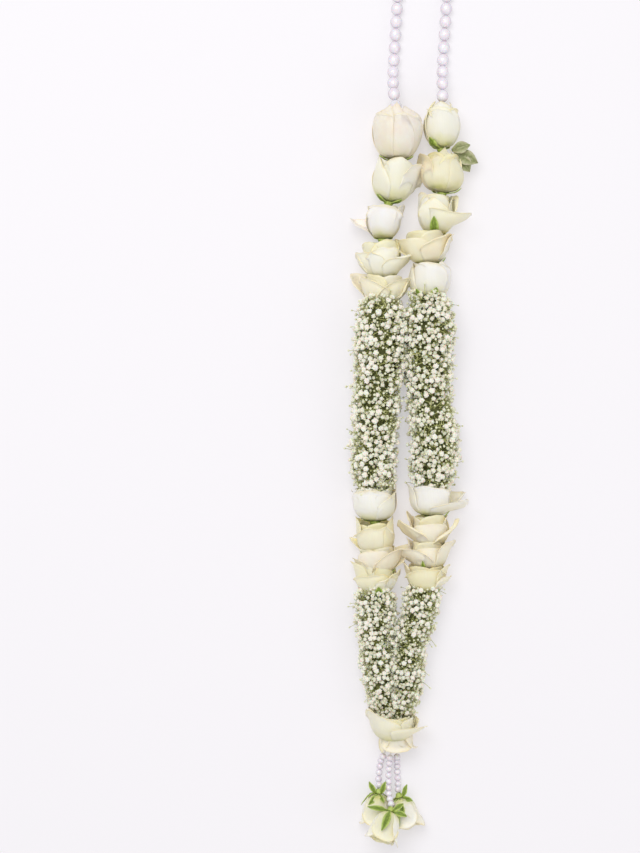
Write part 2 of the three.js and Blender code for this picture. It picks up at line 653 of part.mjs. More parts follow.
const threadAlong = (points, radius, closed) =>
  tube(points.map((at) => ({ at, radius })), THREAD.sides, closed);
const BORES = [
  threadAlong(LOOP, THREAD.bore, true),
  ...Object.keys(TASSEL_ROUTES).map((name) => threadAlong(tasselThread(name), THREAD.bore, false)),
].map(solidOf);

// ---------------------------------------------------------------- putting it together
const garland = new THREE.Group();
const ground = solidOf(new THREE.BoxGeometry(2000, 2000, 100).translate(0, 0, -50));
const outlines = [];

const boxesMeet = (a, b) => {
  const [p, q] = [a.boundingBox(), b.boundingBox()];
  return [0, 1, 2].every((k) => p.min[k] <= q.max[k] && q.min[k] <= p.max[k]);
};

// Adds a piece, in its own frame: bored for the threads, and cut back from what was placed before.
function place(name, surface, look, frame = new THREE.Matrix4()) {
  let solid = solidOf(surface).subtract(ground);
  for (const bore of BORES) if (boxesMeet(solid, bore)) solid = solid.subtract(bore);
  for (const outline of outlines) if (boxesMeet(solid, outline)) solid = solid.subtract(outline);
  const mesh = new THREE.Mesh(geometryOf(mainBody(solid)).applyMatrix4(frame.clone().invert()), look);
  mesh.name = name;
  mesh.applyMatrix4(frame);
  garland.add(mesh);
}

const threadLook = material(COLOURS.thread, 0.9);
function placeThread(name, points, closed) {
  const mesh = new THREE.Mesh(threadAlong(points, THREAD.radius, closed), threadLook);
  mesh.name = name;
  garland.add(mesh);
}

placeThread("thread_loop", LOOP, true);
for (const name of Object.keys(TASSEL_ROUTES)) placeThread(`thread_${name}`, tasselThread(name), false);

const pearlLook = material(COLOURS.pearl, 0.25, 0.1);
function placePearls(name, ends, pearl) {
  const surface = tube(beadStations(ends, pearl), pearl.sides);
  place(name, surface, pearlLook);
  outlines.push(solidOf(swell(surface, CLEARANCE)));
}

placePearls("pearls_neck", neckEnds, NECK_PEARL);
for (const name of Object.keys(TASSEL_ROUTES)) placePearls(`pearls_${name}`, tasselEnds[name], TASSEL_PEARL);

const calyxLook = material(COLOURS.calyx, 0.7);
for (const rose of ROSES.filter(({ calyx }) => calyx !== false)) {
  const { surface, outline, matrix } = calyxSurface(rose);
  place(`calyx_${rose.name}`, surface, calyxLook, matrix);
  outlines.push(solidOf(outline));
}

const petalLook = material(COLOURS.petal, 0.6);
const blushLook = material(COLOURS.blush, 0.6);
const BLUSHED = ["left_1", "middle_left_3", "middle_right_2", "middle_right_3"];
for (const rose of ROSES) {
  const { surface, outline, matrix } = roseSurface(rose);
  place(`rose_${rose.name}`, surface, BLUSHED.includes(rose.name) ? blushLook : petalLook, matrix);
  outlines.push(solidOf(outline).add(solidOf(surface)));
}

const floretLook = material(COLOURS.floret, 0.85);
for (const sleeve of SLEEVES) {
  const solid = sleeveSolid(sleeve).subtract(seamBlock(sleeve.seam, sleeve.keep));
  place(`babys_breath_${sleeve.name}`, geometryOf(solid), floretLook);
}

export default garland;
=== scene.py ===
"""A long garland of white roses, baby's breath and faux pearls, laid on its back on a pale surface.

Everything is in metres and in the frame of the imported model: +Z up from the surface, +Y along the
garland towards the neck loop, +X towards the right-hand strand. Sizes are written in millimetres.
"""

import math

import bpy
import numpy as np
from mathutils import Matrix, Vector


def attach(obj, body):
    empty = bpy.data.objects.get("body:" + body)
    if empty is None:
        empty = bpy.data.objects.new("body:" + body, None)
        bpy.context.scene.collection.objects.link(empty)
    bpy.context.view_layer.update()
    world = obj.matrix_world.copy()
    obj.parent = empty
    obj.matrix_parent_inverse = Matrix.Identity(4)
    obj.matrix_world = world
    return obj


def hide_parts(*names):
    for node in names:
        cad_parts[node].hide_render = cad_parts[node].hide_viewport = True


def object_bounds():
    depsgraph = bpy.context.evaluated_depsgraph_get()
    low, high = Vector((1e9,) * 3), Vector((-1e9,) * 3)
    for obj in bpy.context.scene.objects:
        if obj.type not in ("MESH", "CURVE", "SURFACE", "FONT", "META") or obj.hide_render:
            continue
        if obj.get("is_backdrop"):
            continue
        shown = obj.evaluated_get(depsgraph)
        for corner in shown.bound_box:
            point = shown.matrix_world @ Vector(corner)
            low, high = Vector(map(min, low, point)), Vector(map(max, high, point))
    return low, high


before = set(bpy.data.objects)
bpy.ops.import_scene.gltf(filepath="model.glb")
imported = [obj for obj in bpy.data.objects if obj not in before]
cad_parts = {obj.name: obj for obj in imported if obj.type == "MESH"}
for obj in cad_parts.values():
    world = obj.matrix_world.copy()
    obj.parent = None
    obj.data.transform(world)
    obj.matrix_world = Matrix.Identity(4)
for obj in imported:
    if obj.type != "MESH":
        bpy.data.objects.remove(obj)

cad_box = [list(corner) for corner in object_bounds()]

# ------------------------------------------------------------------ the view
# The garland is nearly a metre long. The camera stands a little over two metres above it, looking
# straight down, so that one millimetre halfway up the garland fills one pixel.
MM = 0.001
VIEW_CENTRE = (-93, -54.5)
VIEW_HEIGHT = 853
HALFWAY_UP = 25
LENS = 92.8
SENSOR = 36
FARTHEST = 20  # in metres, past the edge of the board

camera_data = bpy.data.cameras.new("camera")
camera_data.lens = LENS
camera_data.sensor_width = SENSOR
camera_data.clip_end = FARTHEST
camera = bpy.data.objects.new("camera", camera_data)
bpy.context.scene.collection.objects.link(camera)
distance = VIEW_HEIGHT * LENS / SENSOR
camera.location = Vector((*VIEW_CENTRE, HALFWAY_UP + distance)) * MM
bpy.context.scene.camera = camera

# ------------------------------------------------------------------ cotton thread
# White two-ply cotton. One loop runs through every flower and large pearl, and three short threads
# are knotted into the join and carry the tassel. It is matt, with the slant lines of its twist.
THREAD_TWIST = 1.2  # from one ply to the next
BAND_SPACING = 0.31  # between the bands of a wave texture, at a scale of one


def linear(hex_colour):
    """A colour written as sRGB hex, as the linear colour that a shader takes."""
    channels = [int(hex_colour[i : i + 2], 16) / 255 for i in (1, 3, 5)]
    return (*(c / 12.92 if c <= 0.04045 else ((c + 0.055) / 1.055) ** 2.4 for c in channels), 1)


def add(tree, kind, inputs=None, stops=(), **settings):
    """Adds a node with its settings, its inputs given as values or as what feeds them. Gives its output.

    The stops of a colour ramp are [(place, hex), ...].
    """
    node = tree.nodes.new(kind)
    for name, value in settings.items():
        setattr(node, name, value)
    if stops:
        marks = node.color_ramp.elements
        while len(marks) < len(stops):
            marks.new(0.5)
        for mark, (place, hex_colour) in zip(marks, stops):
            mark.position = place
            mark.color = linear(hex_colour)
    open_inputs = [s for s in node.inputs if s.enabled and not s.is_unavailable]
    for key, value in (inputs or {}).items():
        named = [s for s in open_inputs if key in (s.identifier, s.name)]
        socket = node.inputs[key] if isinstance(key, int) else named[0]
        for feed in value if isinstance(value, list) else [value]:
            if isinstance(feed, bpy.types.NodeSocket):
                tree.links.new(feed, socket)
            else:
                socket.default_value = feed
    outputs = [s for s in node.outputs if s.enabled and not s.is_unavailable]
    return outputs[0] if outputs else node


def new_finish(name, **uniform):
    """A material with its shader's uniform values set, its tree and its shader."""
    material = bpy.data.materials.new(name)
    material.use_nodes = True
    tree = material.node_tree
    shader = tree.nodes["Principled BSDF"]
    for key, value in uniform.items():
        shader.inputs[key.replace("_", " ")].default_value = value
    return material, tree, shader


# Spun cotton scatters light among its fibres, so it is matt, with pale slant bands where the plies wind.
cotton, tree, shader = new_finish("spun_cotton", Roughness=0.85, Specular_IOR_Level=0.2)
place = add(tree, "ShaderNodeTexCoord").node.outputs["Object"]
twist = add(
    tree,
    "ShaderNodeTexWave",
    {"Vector": place, "Scale": BAND_SPACING / (THREAD_TWIST * MM), "Distortion": 1.0},
    bands_direction="DIAGONAL",
)
plies = add(tree, "ShaderNodeValToRGB", {"Fac": twist}, stops=[(0, "#E6E2D8"), (1, "#F7F5F0")])
tree.links.new(plies, shader.inputs["Base Color"])
wound = add(tree, "ShaderNodeBump", {"Height": twist, "Strength": 0.5, "Distance": 0.1 * MM})
tree.links.new(wound, shader.inputs["Normal"])

TASSELS = ["tassel_left", "tassel_front", "tassel_right"]
for name in ["thread_loop"] + [f"thread_{tassel}" for tassel in TASSELS]:
    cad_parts[name].data.materials.clear()
    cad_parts[name].data.materials.append(cotton)

# ------------------------------------------------------------------ faux pearls
# Moulded plastic beads under a pearl lacquer, drilled end to end and strung tight, so that each touches
# the next. The neck strand's are 12 mm wide and a little longer, the tassel's 6.9 mm and a little shorter.
NECK_BEAD = {"width": 12.0, "pitch": 12.9}
TASSEL_BEAD = {"width": 6.9, "pitch": 6.4}
PRESSED = 1.02  # how much longer a bead is than its share of the strand, so that neighbours meet
LYING = 5.95  # the height of the neck strand's middle where it lies on the surface
ARCH = {"centre": (12, 441), "radius": 23}

# Clear gloss over a milky ground: one sharp highlight on each bead, faint clouds, and a lilac-grey rim of
# painted shade.
pearl, tree, shader = new_finish(
    "pearl_lacquer",
    Metallic=0.0,
    Roughness=0.2,
    IOR=1.55,
    Coat_Weight=0.7,
    Coat_Roughness=0.08,
    Subsurface_Weight=0.15,
    Subsurface_Scale=0.5 * MM,
    Sheen_Weight=0.25,
    Sheen_Roughness=0.3,
)
# Painted shade: the bead's colour turns lilac-grey towards its outline as seen from the camera.
facing = add(tree, "ShaderNodeLayerWeight", {"Blend": 0.35}).node.outputs["Facing"]
painted_rim_shade_stops = [(0.0, "#F6F3F7"), (0.45, "#E3DDE5"), (1.0, "#BBB2C2")]
painted_rim_shade = add(tree, "ShaderNodeValToRGB", {"Fac": facing}, stops=painted_rim_shade_stops)
place = add(tree, "ShaderNodeTexCoord").node.outputs["Object"]
cloud = add(tree, "ShaderNodeTexNoise", {"Vector": place, "Scale": 1 / (6 * MM), "Detail": 2.0})
lustre = add(tree, "ShaderNodeValToRGB", {"Fac": cloud}, stops=[(0.35, "#F4EEF1"), (0.65, "#FFFFFF")])
both = {"Factor": 0.8, "A_Color": painted_rim_shade, "B_Color": lustre}
tinted = add(tree, "ShaderNodeMix", both, data_type="RGBA", blend_type="MULTIPLY")
tree.links.new(tinted, shader.inputs["Base Color"])


def smooth_route(points, spacing=0.5):
    """A curve through points, with its knots spaced by the root of their distance: many places on it."""
    points = np.array(points, float)
    ends = [2 * points[0] - points[1], 2 * points[-1] - points[-2]]
    knots = np.vstack([ends[0], points, ends[1]])
    places = []
    for p0, p1, p2, p3 in zip(knots, knots[1:], knots[2:], knots[3:]):
        t1 = np.linalg.norm(p1 - p0) ** 0.5
        t2 = t1 + np.linalg.norm(p2 - p1) ** 0.5
        t3 = t2 + np.linalg.norm(p3 - p2) ** 0.5
        count = max(2, round(np.linalg.norm(p2 - p1) / spacing))
        t = np.linspace(t1, t2, count, endpoint=False)[:, None]
        a1 = (t1 - t) / t1 * p0 + t / t1 * p1
        a2 = (t2 - t) / (t2 - t1) * p1 + (t - t1) / (t2 - t1) * p2
        a3 = (t3 - t) / (t3 - t2) * p2 + (t - t2) / (t3 - t2) * p3
        b1 = (t2 - t) / t2 * a1 + t / t2 * a2
        b2 = (t3 - t) / (t3 - t1) * a2 + (t - t1) / (t3 - t1) * a3
        places.append((t2 - t) / (t2 - t1) * b1 + (t - t1) / (t2 - t1) * b2)
    return np.vstack([*places, points[-1:]])


def along(route, shares):
    """The places at given shares of a route's length."""
    steps = np.linalg.norm(np.diff(route, axis=0), axis=1)
    run = np.concatenate([[0], np.cumsum(steps)])
    return np.stack([np.interp(np.array(shares) * run[-1], run, route[:, k]) for k in range(3)], 1)


def line_object(name, places):
    """A mesh of edges from place to place, in metres: what a strand is built on."""
    mesh = bpy.data.meshes.new(name)
    edges = [(i, i + 1) for i in range(len(places) - 1)]
    mesh.from_pydata([Vector(p) * MM for p in places], edges, [])
    return linked(bpy.data.objects.new(name, mesh))


def linked(obj):
    """Puts an object in the scene."""
    bpy.context.scene.collection.objects.link(obj)
    return obj


def new_tree(name, **sizes):
    """A Geometry Nodes tree that takes a geometry and named sizes, and its input and output nodes."""
    tree = bpy.data.node_groups.new(name, "GeometryNodeTree")
    tree.interface.new_socket("Geometry", in_out="OUTPUT", socket_type="NodeSocketGeometry")
    tree.interface.new_socket("Geometry", in_out="INPUT", socket_type="NodeSocketGeometry")
    kinds = {int: "NodeSocketInt", float: "NodeSocketFloat", tuple: "NodeSocketVector"}
    for size, value in sizes.items():
        kind = kinds[type(value)]
        tree.interface.new_socket(size, in_out="INPUT", socket_type=kind).default_value = value
    given = tree.nodes.new("NodeGroupInput")
    result = tree.nodes.new("NodeGroupOutput")
    return tree, given.outputs, result.inputs["Geometry"]


def grow(obj, tree, **sizes):
    """Runs a tree on an object, and leaves the object with the plain mesh that comes of it."""
    modifier = obj.modifiers.new("grow", "NODES")
    modifier.node_group = tree
    for socket in tree.interface.items_tree:
        if socket.in_out == "INPUT" and socket.name in sizes:
            modifier[socket.identifier] = sizes[socket.name]
    obj.update_tag()
    evaluated = obj.evaluated_get(bpy.context.evaluated_depsgraph_get())
    grown = bpy.data.meshes.new_from_object(evaluated)
    grown.name = obj.name
    obj.modifiers.clear()
    obj.data = grown
    return obj


in_metres = {name: value * MM for name, value in NECK_BEAD.items()}
tree, size, result = new_tree("strand_of_beads", **in_metres, count=8)
strand = add(tree, "GeometryNodeMeshToCurve", {"Mesh": size["Geometry"]})
centres = add(tree, "GeometryNodeResampleCurve", {"Curve": strand, "Count": size["count"]})
ball = add(tree, "GeometryNodeMeshUVSphere", {"Segments": 28, "Rings": 18, "Radius": 0.5})
tangent = add(tree, "GeometryNodeInputTangent")
lie = add(tree, "FunctionNodeAlignRotationToVector", {"Vector": tangent}, axis="Z")
extent = {"X": size["width"], "Y": size["width"], "Z": size["pitch"]}
stretch = add(tree, "ShaderNodeCombineXYZ", extent)
beads = {"Points": centres, "Instance": ball, "Rotation": lie, "Scale": stretch}
strung = add(tree, "GeometryNodeInstanceOnPoints", beads)
whole = add(tree, "GeometryNodeRealizeInstances", {"Geometry": strung})
rounded = add(tree, "GeometryNodeSetShadeSmooth", {"Geometry": whole})
tree.links.new(add(tree, "GeometryNodeSetMaterial", {"Geometry": rounded, "Material": pearl}), result)
bead_tree = tree


def string_beads(name, route, bead, node):
    """Beads end to end along a route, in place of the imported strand, on a line with four places a bead."""
    places = smooth_route(route)
    length = np.linalg.norm(np.diff(places, axis=0), axis=1).sum()
    count = round(length / bead["pitch"])
    middles = along(places, np.linspace(0.5, count - 0.5, 4 * count) / count)
    pitch = length / count * MM
    strand = line_object(name, middles)
    grow(strand, bead_tree, width=bead["width"] * MM, pitch=PRESSED * pitch, count=count)
    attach(strand, "root")
    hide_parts(node)


# The strand rises out of the first rose on each side, lies down beyond it, and turns round at the neck.
arch = [
    (
        ARCH["centre"][0] + ARCH["radius"] * math.cos(math.radians(turn)),
        ARCH["centre"][1] + ARCH["radius"] * math.sin(math.radians(turn)),
        LYING,
    )
    for turn in (165, 140, 115, 90, 65, 40, 15)
]
NECK_ROUTE = [
    (-16.15, 259.7, 23.3), (-18.5, 275, 22), (-19.5, 290, 15.5), (-19, 306, 8.5), (-18, 322, LYING),
    (-16.5, 347, LYING), (-15, 372, LYING), (-12.5, 405, LYING), (-11, 428, LYING), *arch,
    (35, 428, LYING), (35.5, 405, LYING), (34.5, 372, LYING), (33, 347, LYING), (31.5, 322, LYING),
    (30.5, 308, 8), (30, 293, 13.5), (30.02, 270.9, 16.8),
]
string_beads("neck_pearls", NECK_ROUTE, NECK_BEAD, "pearls_neck")

TASSEL_ROUTES = {
    "tassel_left": [
        (-28.5, -384, 13.5), (-31.5, -391, 7.5), (-33, -401, 3.6), (-34, -410, 4.6),
        (-33.3, -418.2, 10.7),
    ],
    "tassel_front": [
        (-22.5, -384.5, 16.5), (-23.5, -396, 11.5), (-24, -411, 10.8), (-24, -422, 15.5),
        (-21.4, -434, 27.6),
    ],
    "tassel_right": [
        (-15.5, -384.5, 13.5), (-15.5, -392, 7.5), (-15, -402, 3.6), (-14.5, -413, 4.8),
        (-14.4, -422.6, 11.2),
    ],
}
for tassel, route in TASSEL_ROUTES.items():
    string_beads(f"pearls_of_{tassel}", route, TASSEL_BEAD, f"pearls_{tassel}")

# ------------------------------------------------------------------ roses
# Fresh cream-white garland roses, strung through the middle from base to rim. Each petal is a thin, cupped
# sheet; the outer ones overlap one way round and roll back at the rim.
FLATTENING = 1.2  # how far a rose settles into the surface
PETAL_THICKNESS = 0.45
LAP = 1.1  # how far one margin of a petal lies over, and the other under, its neighbours
BELLY = 0.5  # where a rose is widest, as a share of its length
FOOT = 0.42  # how wide it is at its base
TUCK = 0.6  # how far its foot draws in
TUCKED = 0.07  # how far up its foot reaches
PEAK_SHIFT = 0.6  # how far across a petal a skew of one moves the rim's highest point
LEAN = (0.28, 0.62)  # how far up a petal it begins to lean out, and how much further up it leans in full
FOLD = (0.4, 0.4)  # the same, of its margins that fold back
ROLLS = 20  # a rim with a curl of more degrees than this rolls back
ROLL_START = 0.8  # how far up a petal its rim begins to roll back
HARD_EDGE = 0.97  # the same, of a rim that hardly rolls
CORNER = 0.16  # how much lower the very corners of a petal are, as a share of its height
TIP = (0.02, 0.16)  # height and half-width of the small point on the rim, as shares of the petal's
CRUMPLE = 0.35  # how deep its crumples are
PLEAT = 0.3  # how deep the crease up its middle is
LOWEST = 0.5  # how close to the surface a thin sheet comes, before it is given its thickness
PETAL_SEED = 5

# base and rim are where a rose's axis starts and ends, heights how high those ends are if it isn't level, and
# radius is its half-width. belly is how far up it is widest, tuck how far its foot draws in and close how far
# its rim does. hand is the way round that the petals overlap, and heart how high the inner ones come. blush
# is how pink it is and warmth how cream.
# Petals: turn about the axis in degrees, 0 facing up, half-width in degrees, reach as a share of the length,
# and how far in mm the rim leans out and the margins fold back. Then comes how its rim differs: skew, spread,
# drop, power and curl, as petal_sheet says, rim for how wavy it is in mm, and blush for how much pinker.
ROSES = {
    "left_1": dict(base=(-17, 212), rim=(-15, 265), radius=25, belly=0.6, close=0.5, hand=1,
        blush=0.75, warmth=0.35, heart=0.86, petals=[
        (-60, 50, 1.0, 0, 0, dict(skew=0.9, drop=0.4, power=1.2, curl=15)),
        (8, 50, 1.05, 0, 0, dict(skew=-0.5, drop=0.85, power=1.5, curl=12)),
        (66, 58, 1.0, 1, 0, dict(skew=-1.3, drop=0.36, power=1.2, curl=14)),
        (-150, 30, 1.0, 0, 0, dict(drop=0.3))]),
    "left_2": dict(base=(-24, 171), rim=(-15, 212), radius=21, close=0.12, hand=1,
        blush=0.1, warmth=0.45, heart=0.95, petals=[
        (-56, 52, 1.02, 1, 0, dict(skew=-0.9, drop=0.6, power=1.5, curl=20)),
        (10, 54, 1.03, 0, 0, dict(drop=0.2, curl=20)),
        (66, 46, 1.0, 4, 2, dict(skew=-0.2, drop=0.3, curl=60))]),
    "left_3": dict(base=(-30, 134), rim=(-29, 168), radius=17.5, close=0.1, hand=1,
        blush=0.2, warmth=-0.1, heart=1.0, petals=[
        (-130, 54, 0.6, 14, 0, dict(skew=0.2, spread=1.4, drop=0.15, blush=0.3)),
        (-2, 62, 0.95, 0, 0, dict(drop=0.2, curl=60)),
        (82, 46, 1.02, 1, 2, {})]),
    "left_4": dict(base=(-28, 93), rim=(-33, 131), radius=19.5, close=0, hand=-1,
        blush=0.05, warmth=0.65, heart=1.34, petals=[
        (-108, 40, 0.8, 4, 2, {}),
        (-46, 50, 0.78, 4, 0, dict(skew=-0.9, spread=0.75, drop=0.3, curl=60)),
        (6, 50, 0.8, 1, 0, dict(drop=0.1, curl=60)),
        (44, 50, 0.64, 9, 0, dict(skew=0.9, spread=0.75, drop=0.4, power=1.3, curl=170))]),
    "left_5": dict(base=(-31, 67), rim=(-29, 99), radius=20, close=0, hand=1,
        blush=0.3, warmth=0.6, heart=0.98, petals=[
        (-130, 40, 1.0, 11, 0, dict(skew=0.3, drop=0.15, blush=0.2)),
        (-34, 52, 0.86, 3, 0, dict(skew=-0.9, drop=0.45, power=1.6, curl=80)),
        (36, 52, 0.96, 4, 0, dict(skew=0.9, spread=0.9, drop=0.6, power=1.3, curl=130)),
        (96, 38, 0.94, 4, 4, {})]),
    "right_1": dict(base=(29, 225), rim=(30, 270), radius=18.4, close=0.6, hand=1,
        blush=0.1, warmth=0.65, heart=0.9, petals=[
        (-16, 78, 1.0, 0, 0, dict(drop=0.2, curl=8)),
        (84, 60, 1.01, 0, 0, dict(drop=0.2, curl=8)),
        (-70, 10, 1.02, 1, 0, dict(drop=0.1, curl=20))]),
    "right_2": dict(base=(29, 180), rim=(32, 223), radius=21.5, belly=0.36, close=0.86, hand=-1,
        blush=0.35, warmth=0.75, heart=0.9, petals=[
        (-72, 42, 0.86, 5, 0, dict(skew=-0.4, drop=0.3, blush=0.6)),
        (-4, 62, 1.04, 0, 0, dict(drop=0.42, power=1.6, curl=10)),
        (66, 52, 0.96, 0, 0, dict(drop=0.3, curl=10))]),
    "right_3": dict(base=(24, 138), rim=(24, 180), radius=18.5, close=0.1, hand=-1,
        blush=0.1, warmth=0.55, heart=0.98, petals=[
        (-70, 52, 1.0, 0, 0, dict(drop=0.3, curl=20)),
        (-8, 52, 0.86, 1, 0, dict(skew=-0.1, drop=0.5, power=1.1, curl=40)),
        (30, 54, 0.52, 15, 0, dict(skew=0.95, spread=0.6, drop=-0.35, power=1.2, curl=90)),
        (104, 40, 0.95, 0, 0, dict(curl=40))]),
    "right_4": dict(base=(16, 108), rim=(13, 140), radius=20.5, close=-0.05, hand=-1,
        blush=0.35, warmth=0.75, heart=1.18, petals=[
        (-125, 42, 0.9, 12, 0, dict(skew=0.3)),
        (-44, 46, 0.84, 5, 0, dict(skew=-0.8, drop=0.2, curl=50)),
        (30, 52, 0.93, 4, 0, dict(skew=0.6, drop=0.42, power=1.4, curl=130, blush=0.35)),
        (84, 42, 0.9, 4, 2, {})]),
    "right_5": dict(base=(16, 74), rim=(18, 110), radius=21, close=0.22, hand=1,
        blush=0.2, warmth=0.4, heart=0.97, petals=[
        (-92, 46, 0.95, 0, 0, dict(curl=20)),
        (-10, 62, 0.97, 0, 0, dict(drop=0.2, curl=20)),
        (62, 50, 1.0, 0, 0, dict(skew=-0.7, drop=0.4, power=1.6, curl=20))]),
    "middle_left_1": dict(base=(-38, -149), rim=(-38, -117), radius=21.5, close=0.05, hand=-1,
        blush=0.1, warmth=0.35, heart=1.04, petals=[
        (-92, 46, 0.98, 0, 1, {}),
        (-12, 62, 0.96, 0, 0, dict(drop=0.12, curl=40)),
        (58, 54, 1.03, 0, 0, dict(skew=0.9, drop=0.6, power=1.2, curl=30)),
        (112, 36, 1.0, 0, 0, dict(curl=20, blush=0.7))]),
    "middle_left_2": dict(base=(-36, -184), rim=(-38.5, -146), radius=19, close=0, hand=-1,
        blush=0.3, warmth=1.05, heart=0.86, petals=[
        (-104, 50, 1.04, 0, 0, dict(skew=0.2, drop=0.1, curl=20)),
        (-4, 62, 0.76, 1, 0, dict(drop=0.06, rim=1.6, curl=80)),
        (74, 50, 1.0, 0, 0, dict(skew=0.4, drop=0.3, curl=20, blush=0.3)),
        (-118, 24, 0.52, 9, 0, dict(drop=0.1))]),
    "middle_left_3": dict(base=(-33, -203), rim=(-36, -174), radius=19.5, close=0, hand=-1,
        blush=0.5, warmth=0.6, heart=1.1, petals=[
        (-80, 44, 0.66, 4, 1, dict(skew=-0.5, curl=60)),
        (-18, 56, 0.86, 1, 0, dict(drop=0.1, curl=20)),
        (32, 58, 0.92, 4, 0, dict(skew=0.65, drop=0.75, power=1.5, curl=170, blush=0.2)),
        (122, 42, 0.92, 14, 0, dict(spread=1.2))]),
    "middle_left_4": dict(base=(-34, -223), rim=(-38, -188), radius=20, close=-0.1, hand=-1,
        blush=0.15, warmth=0.75, heart=0.95, petals=[
        (-74, 46, 1.04, 1, 0, dict(skew=-0.5, drop=0.3, curl=30)),
        (-14, 50, 0.66, 3, 0, dict(skew=-0.6, drop=0.2, curl=80)),
        (26, 34, 0.5, 4, 0, dict(rim=1.8, curl=110)),
        (62, 42, 0.66, 3, 0, dict(skew=0.3, rim=1.8, curl=100))]),
    "middle_right_1": dict(base=(17.5, -144), rim=(19.5, -114), radius=21, close=0, hand=1,
        blush=0.15, warmth=0.4, heart=0.92, petals=[
        (-88, 44, 1.06, 3, 0, dict(skew=-0.6, drop=0.3)),
        (-14, 64, 0.98, 0, 0, dict(drop=0.1, curl=40)),
        (42, 52, 0.66, 14, 0, dict(skew=0.9, spread=0.8, drop=0.65, power=1.2, curl=90)),
        (122, 44, 0.86, 15, 0, dict(spread=1.2, drop=0.1, curl=30))]),
    "middle_right_2": dict(base=(18, -175), rim=(17, -142), radius=19.5, close=0, hand=-1,
        blush=0.5, warmth=0.65, heart=0.94, petals=[
        (-112, 42, 1.08, 2, 0, dict(skew=0.5, blush=0.5)),
        (-52, 42, 0.9, 9, 0, dict(skew=-0.9, spread=0.8, drop=0.65, power=1.2, curl=120)),
        (2, 56, 0.72, 1, 0, dict(drop=0.12, curl=50)),
        (58, 50, 0.92, 6, 0, dict(skew=0.9, drop=0.8, power=1.2, curl=140))]),
    "middle_right_3": dict(base=(16, -198), rim=(16, -169), radius=19, close=0, hand=-1,
        blush=0.5, warmth=0.6, heart=0.94, petals=[
        (-112, 42, 1.1, 2, 0, dict(skew=0.5)),
        (-40, 48, 0.86, 10, 0, dict(skew=-0.9, spread=0.8, drop=0.45, power=1.4, curl=160)),
        (10, 56, 0.78, 1, 0, dict(drop=0.1, curl=50)),
        (66, 46, 1.05, 5, 0, dict(skew=0.5, drop=0.25, curl=80))]),
    "middle_right_4": dict(base=(14, -220), rim=(13, -190), radius=19, close=-0.1, hand=-1,
        blush=0.35, warmth=0.8, heart=0.86, petals=[
        (-96, 44, 1.06, 2, 0, dict(skew=0.4, blush=0.4)),
        (-6, 60, 0.78, 2, 0, dict(skew=0.3, drop=0.15, curl=80)),
        (70, 42, 0.9, 3, 0, dict(skew=0.5, drop=0.3, curl=60)),
        (62, 34, 0.52, 6, 0, dict(skew=0.5, curl=60))]),
    "join_upper": dict(base=(-18, -369), rim=(-19.5, -335), radius=22.5, close=-0.12, hand=-1,
        blush=0.15, warmth=0.6, tuck=0.2, heart=0.72, petals=[
        (-90, 46, 1.0, 1, 0, dict(skew=-0.3, curl=25)),
        (-38, 58, 1.04, 1, 0, dict(skew=-0.9, drop=0.62, power=1.1, curl=45)),
        (44, 56, 0.46, 10, 0, dict(skew=0.9, drop=0.1, curl=120)),
        (104, 44, 0.62, 1, 0, dict(curl=30))]),
    "join_lower": dict(base=(-17, -350), rim=(-15.5, -381), radius=16, close=0.3, hand=1,
        blush=0.5, warmth=0.7, tuck=0.2, heart=0.9, petals=[
        (-78, 50, 1.0, 2, 0, dict(skew=-0.6, curl=90)),
        (-6, 58, 0.98, 0, 0, dict(drop=0.15, curl=60)),
        (74, 50, 0.98, 0, 1, {})]),
    "tassel_left": dict(base=(-34, -424), rim=(-38, -456), radius=12.8, close=0, hand=1,
        blush=0.1, warmth=0.6, heights=(11, 12.6), petals=[
        (76, 48, 0.98, 1, 0, dict(skew=0.5, drop=0.25, curl=25)),
        (4, 56, 0.96, 1, 0, dict(drop=0.2, curl=60)),
        (-80, 44, 0.9, 0, 0, dict(curl=25))]),
    "tassel_right": dict(base=(-13, -428), rim=(-5, -458), radius=13.4, close=-0.05, hand=-1,
        blush=0.2, warmth=0.5, heights=(11.5, 13.2), petals=[
        (-66, 50, 1.04, 2, 0, dict(skew=-0.6, drop=0.4, power=1.6, curl=25)),
        (4, 54, 0.94, 1, 0, dict(drop=0.25, curl=50)),
        (78, 42, 0.9, 0, 0, dict(curl=25))]),
    "tassel_front": dict(base=(-23, -439), rim=(-32, -467), radius=13.2, close=-0.1, hand=1,
        blush=0.1, warmth=0.7, heights=(29.5, 40), petals=[
        (70, 48, 1.0, 2, 0, dict(skew=0.5, drop=0.35, curl=30)),
        (2, 54, 1.04, 2, 0, dict(drop=0.3, curl=50)),
        (-70, 48, 1.0, 2, 0, dict(skew=-0.6, drop=0.35, curl=30))]),
}
# Two plain petals close the side that a rose lies on.
UNDER_PETALS = [(152, 46, 0.92, 0, 0), (212, 46, 0.94, 0, 0)]
# Rings of inner petals: (how many, radius as a share of the rose's, half-width in degrees, how much
# further they draw in, and their reach as a share of the highest outer petal's).
INNER_RINGS = [
    (4, 0.86, 62, 0.16, 0.95),
    (3, 0.7, 78, 0.3, 0.93),
    (3, 0.52, 80, 0.45, 0.91),
    (2, 0.33, 115, 0.5, 0.88),
]
# The rim of an outer petal, of a plain one and of an inner one, where nothing else is given.
OUTER_RIM = {"grid": (23, 20), "width": 1.0, "close": 0.0, "drop": 0.32, "curl": 55, "rim": 0.6}
PLAIN_RIM = {**OUTER_RIM, "curl": 12, "rim": 0.3}
INNER_RIM = {"grid": (15, 12), "drop": 0.2, "curl": 25, "rim": 0.5}


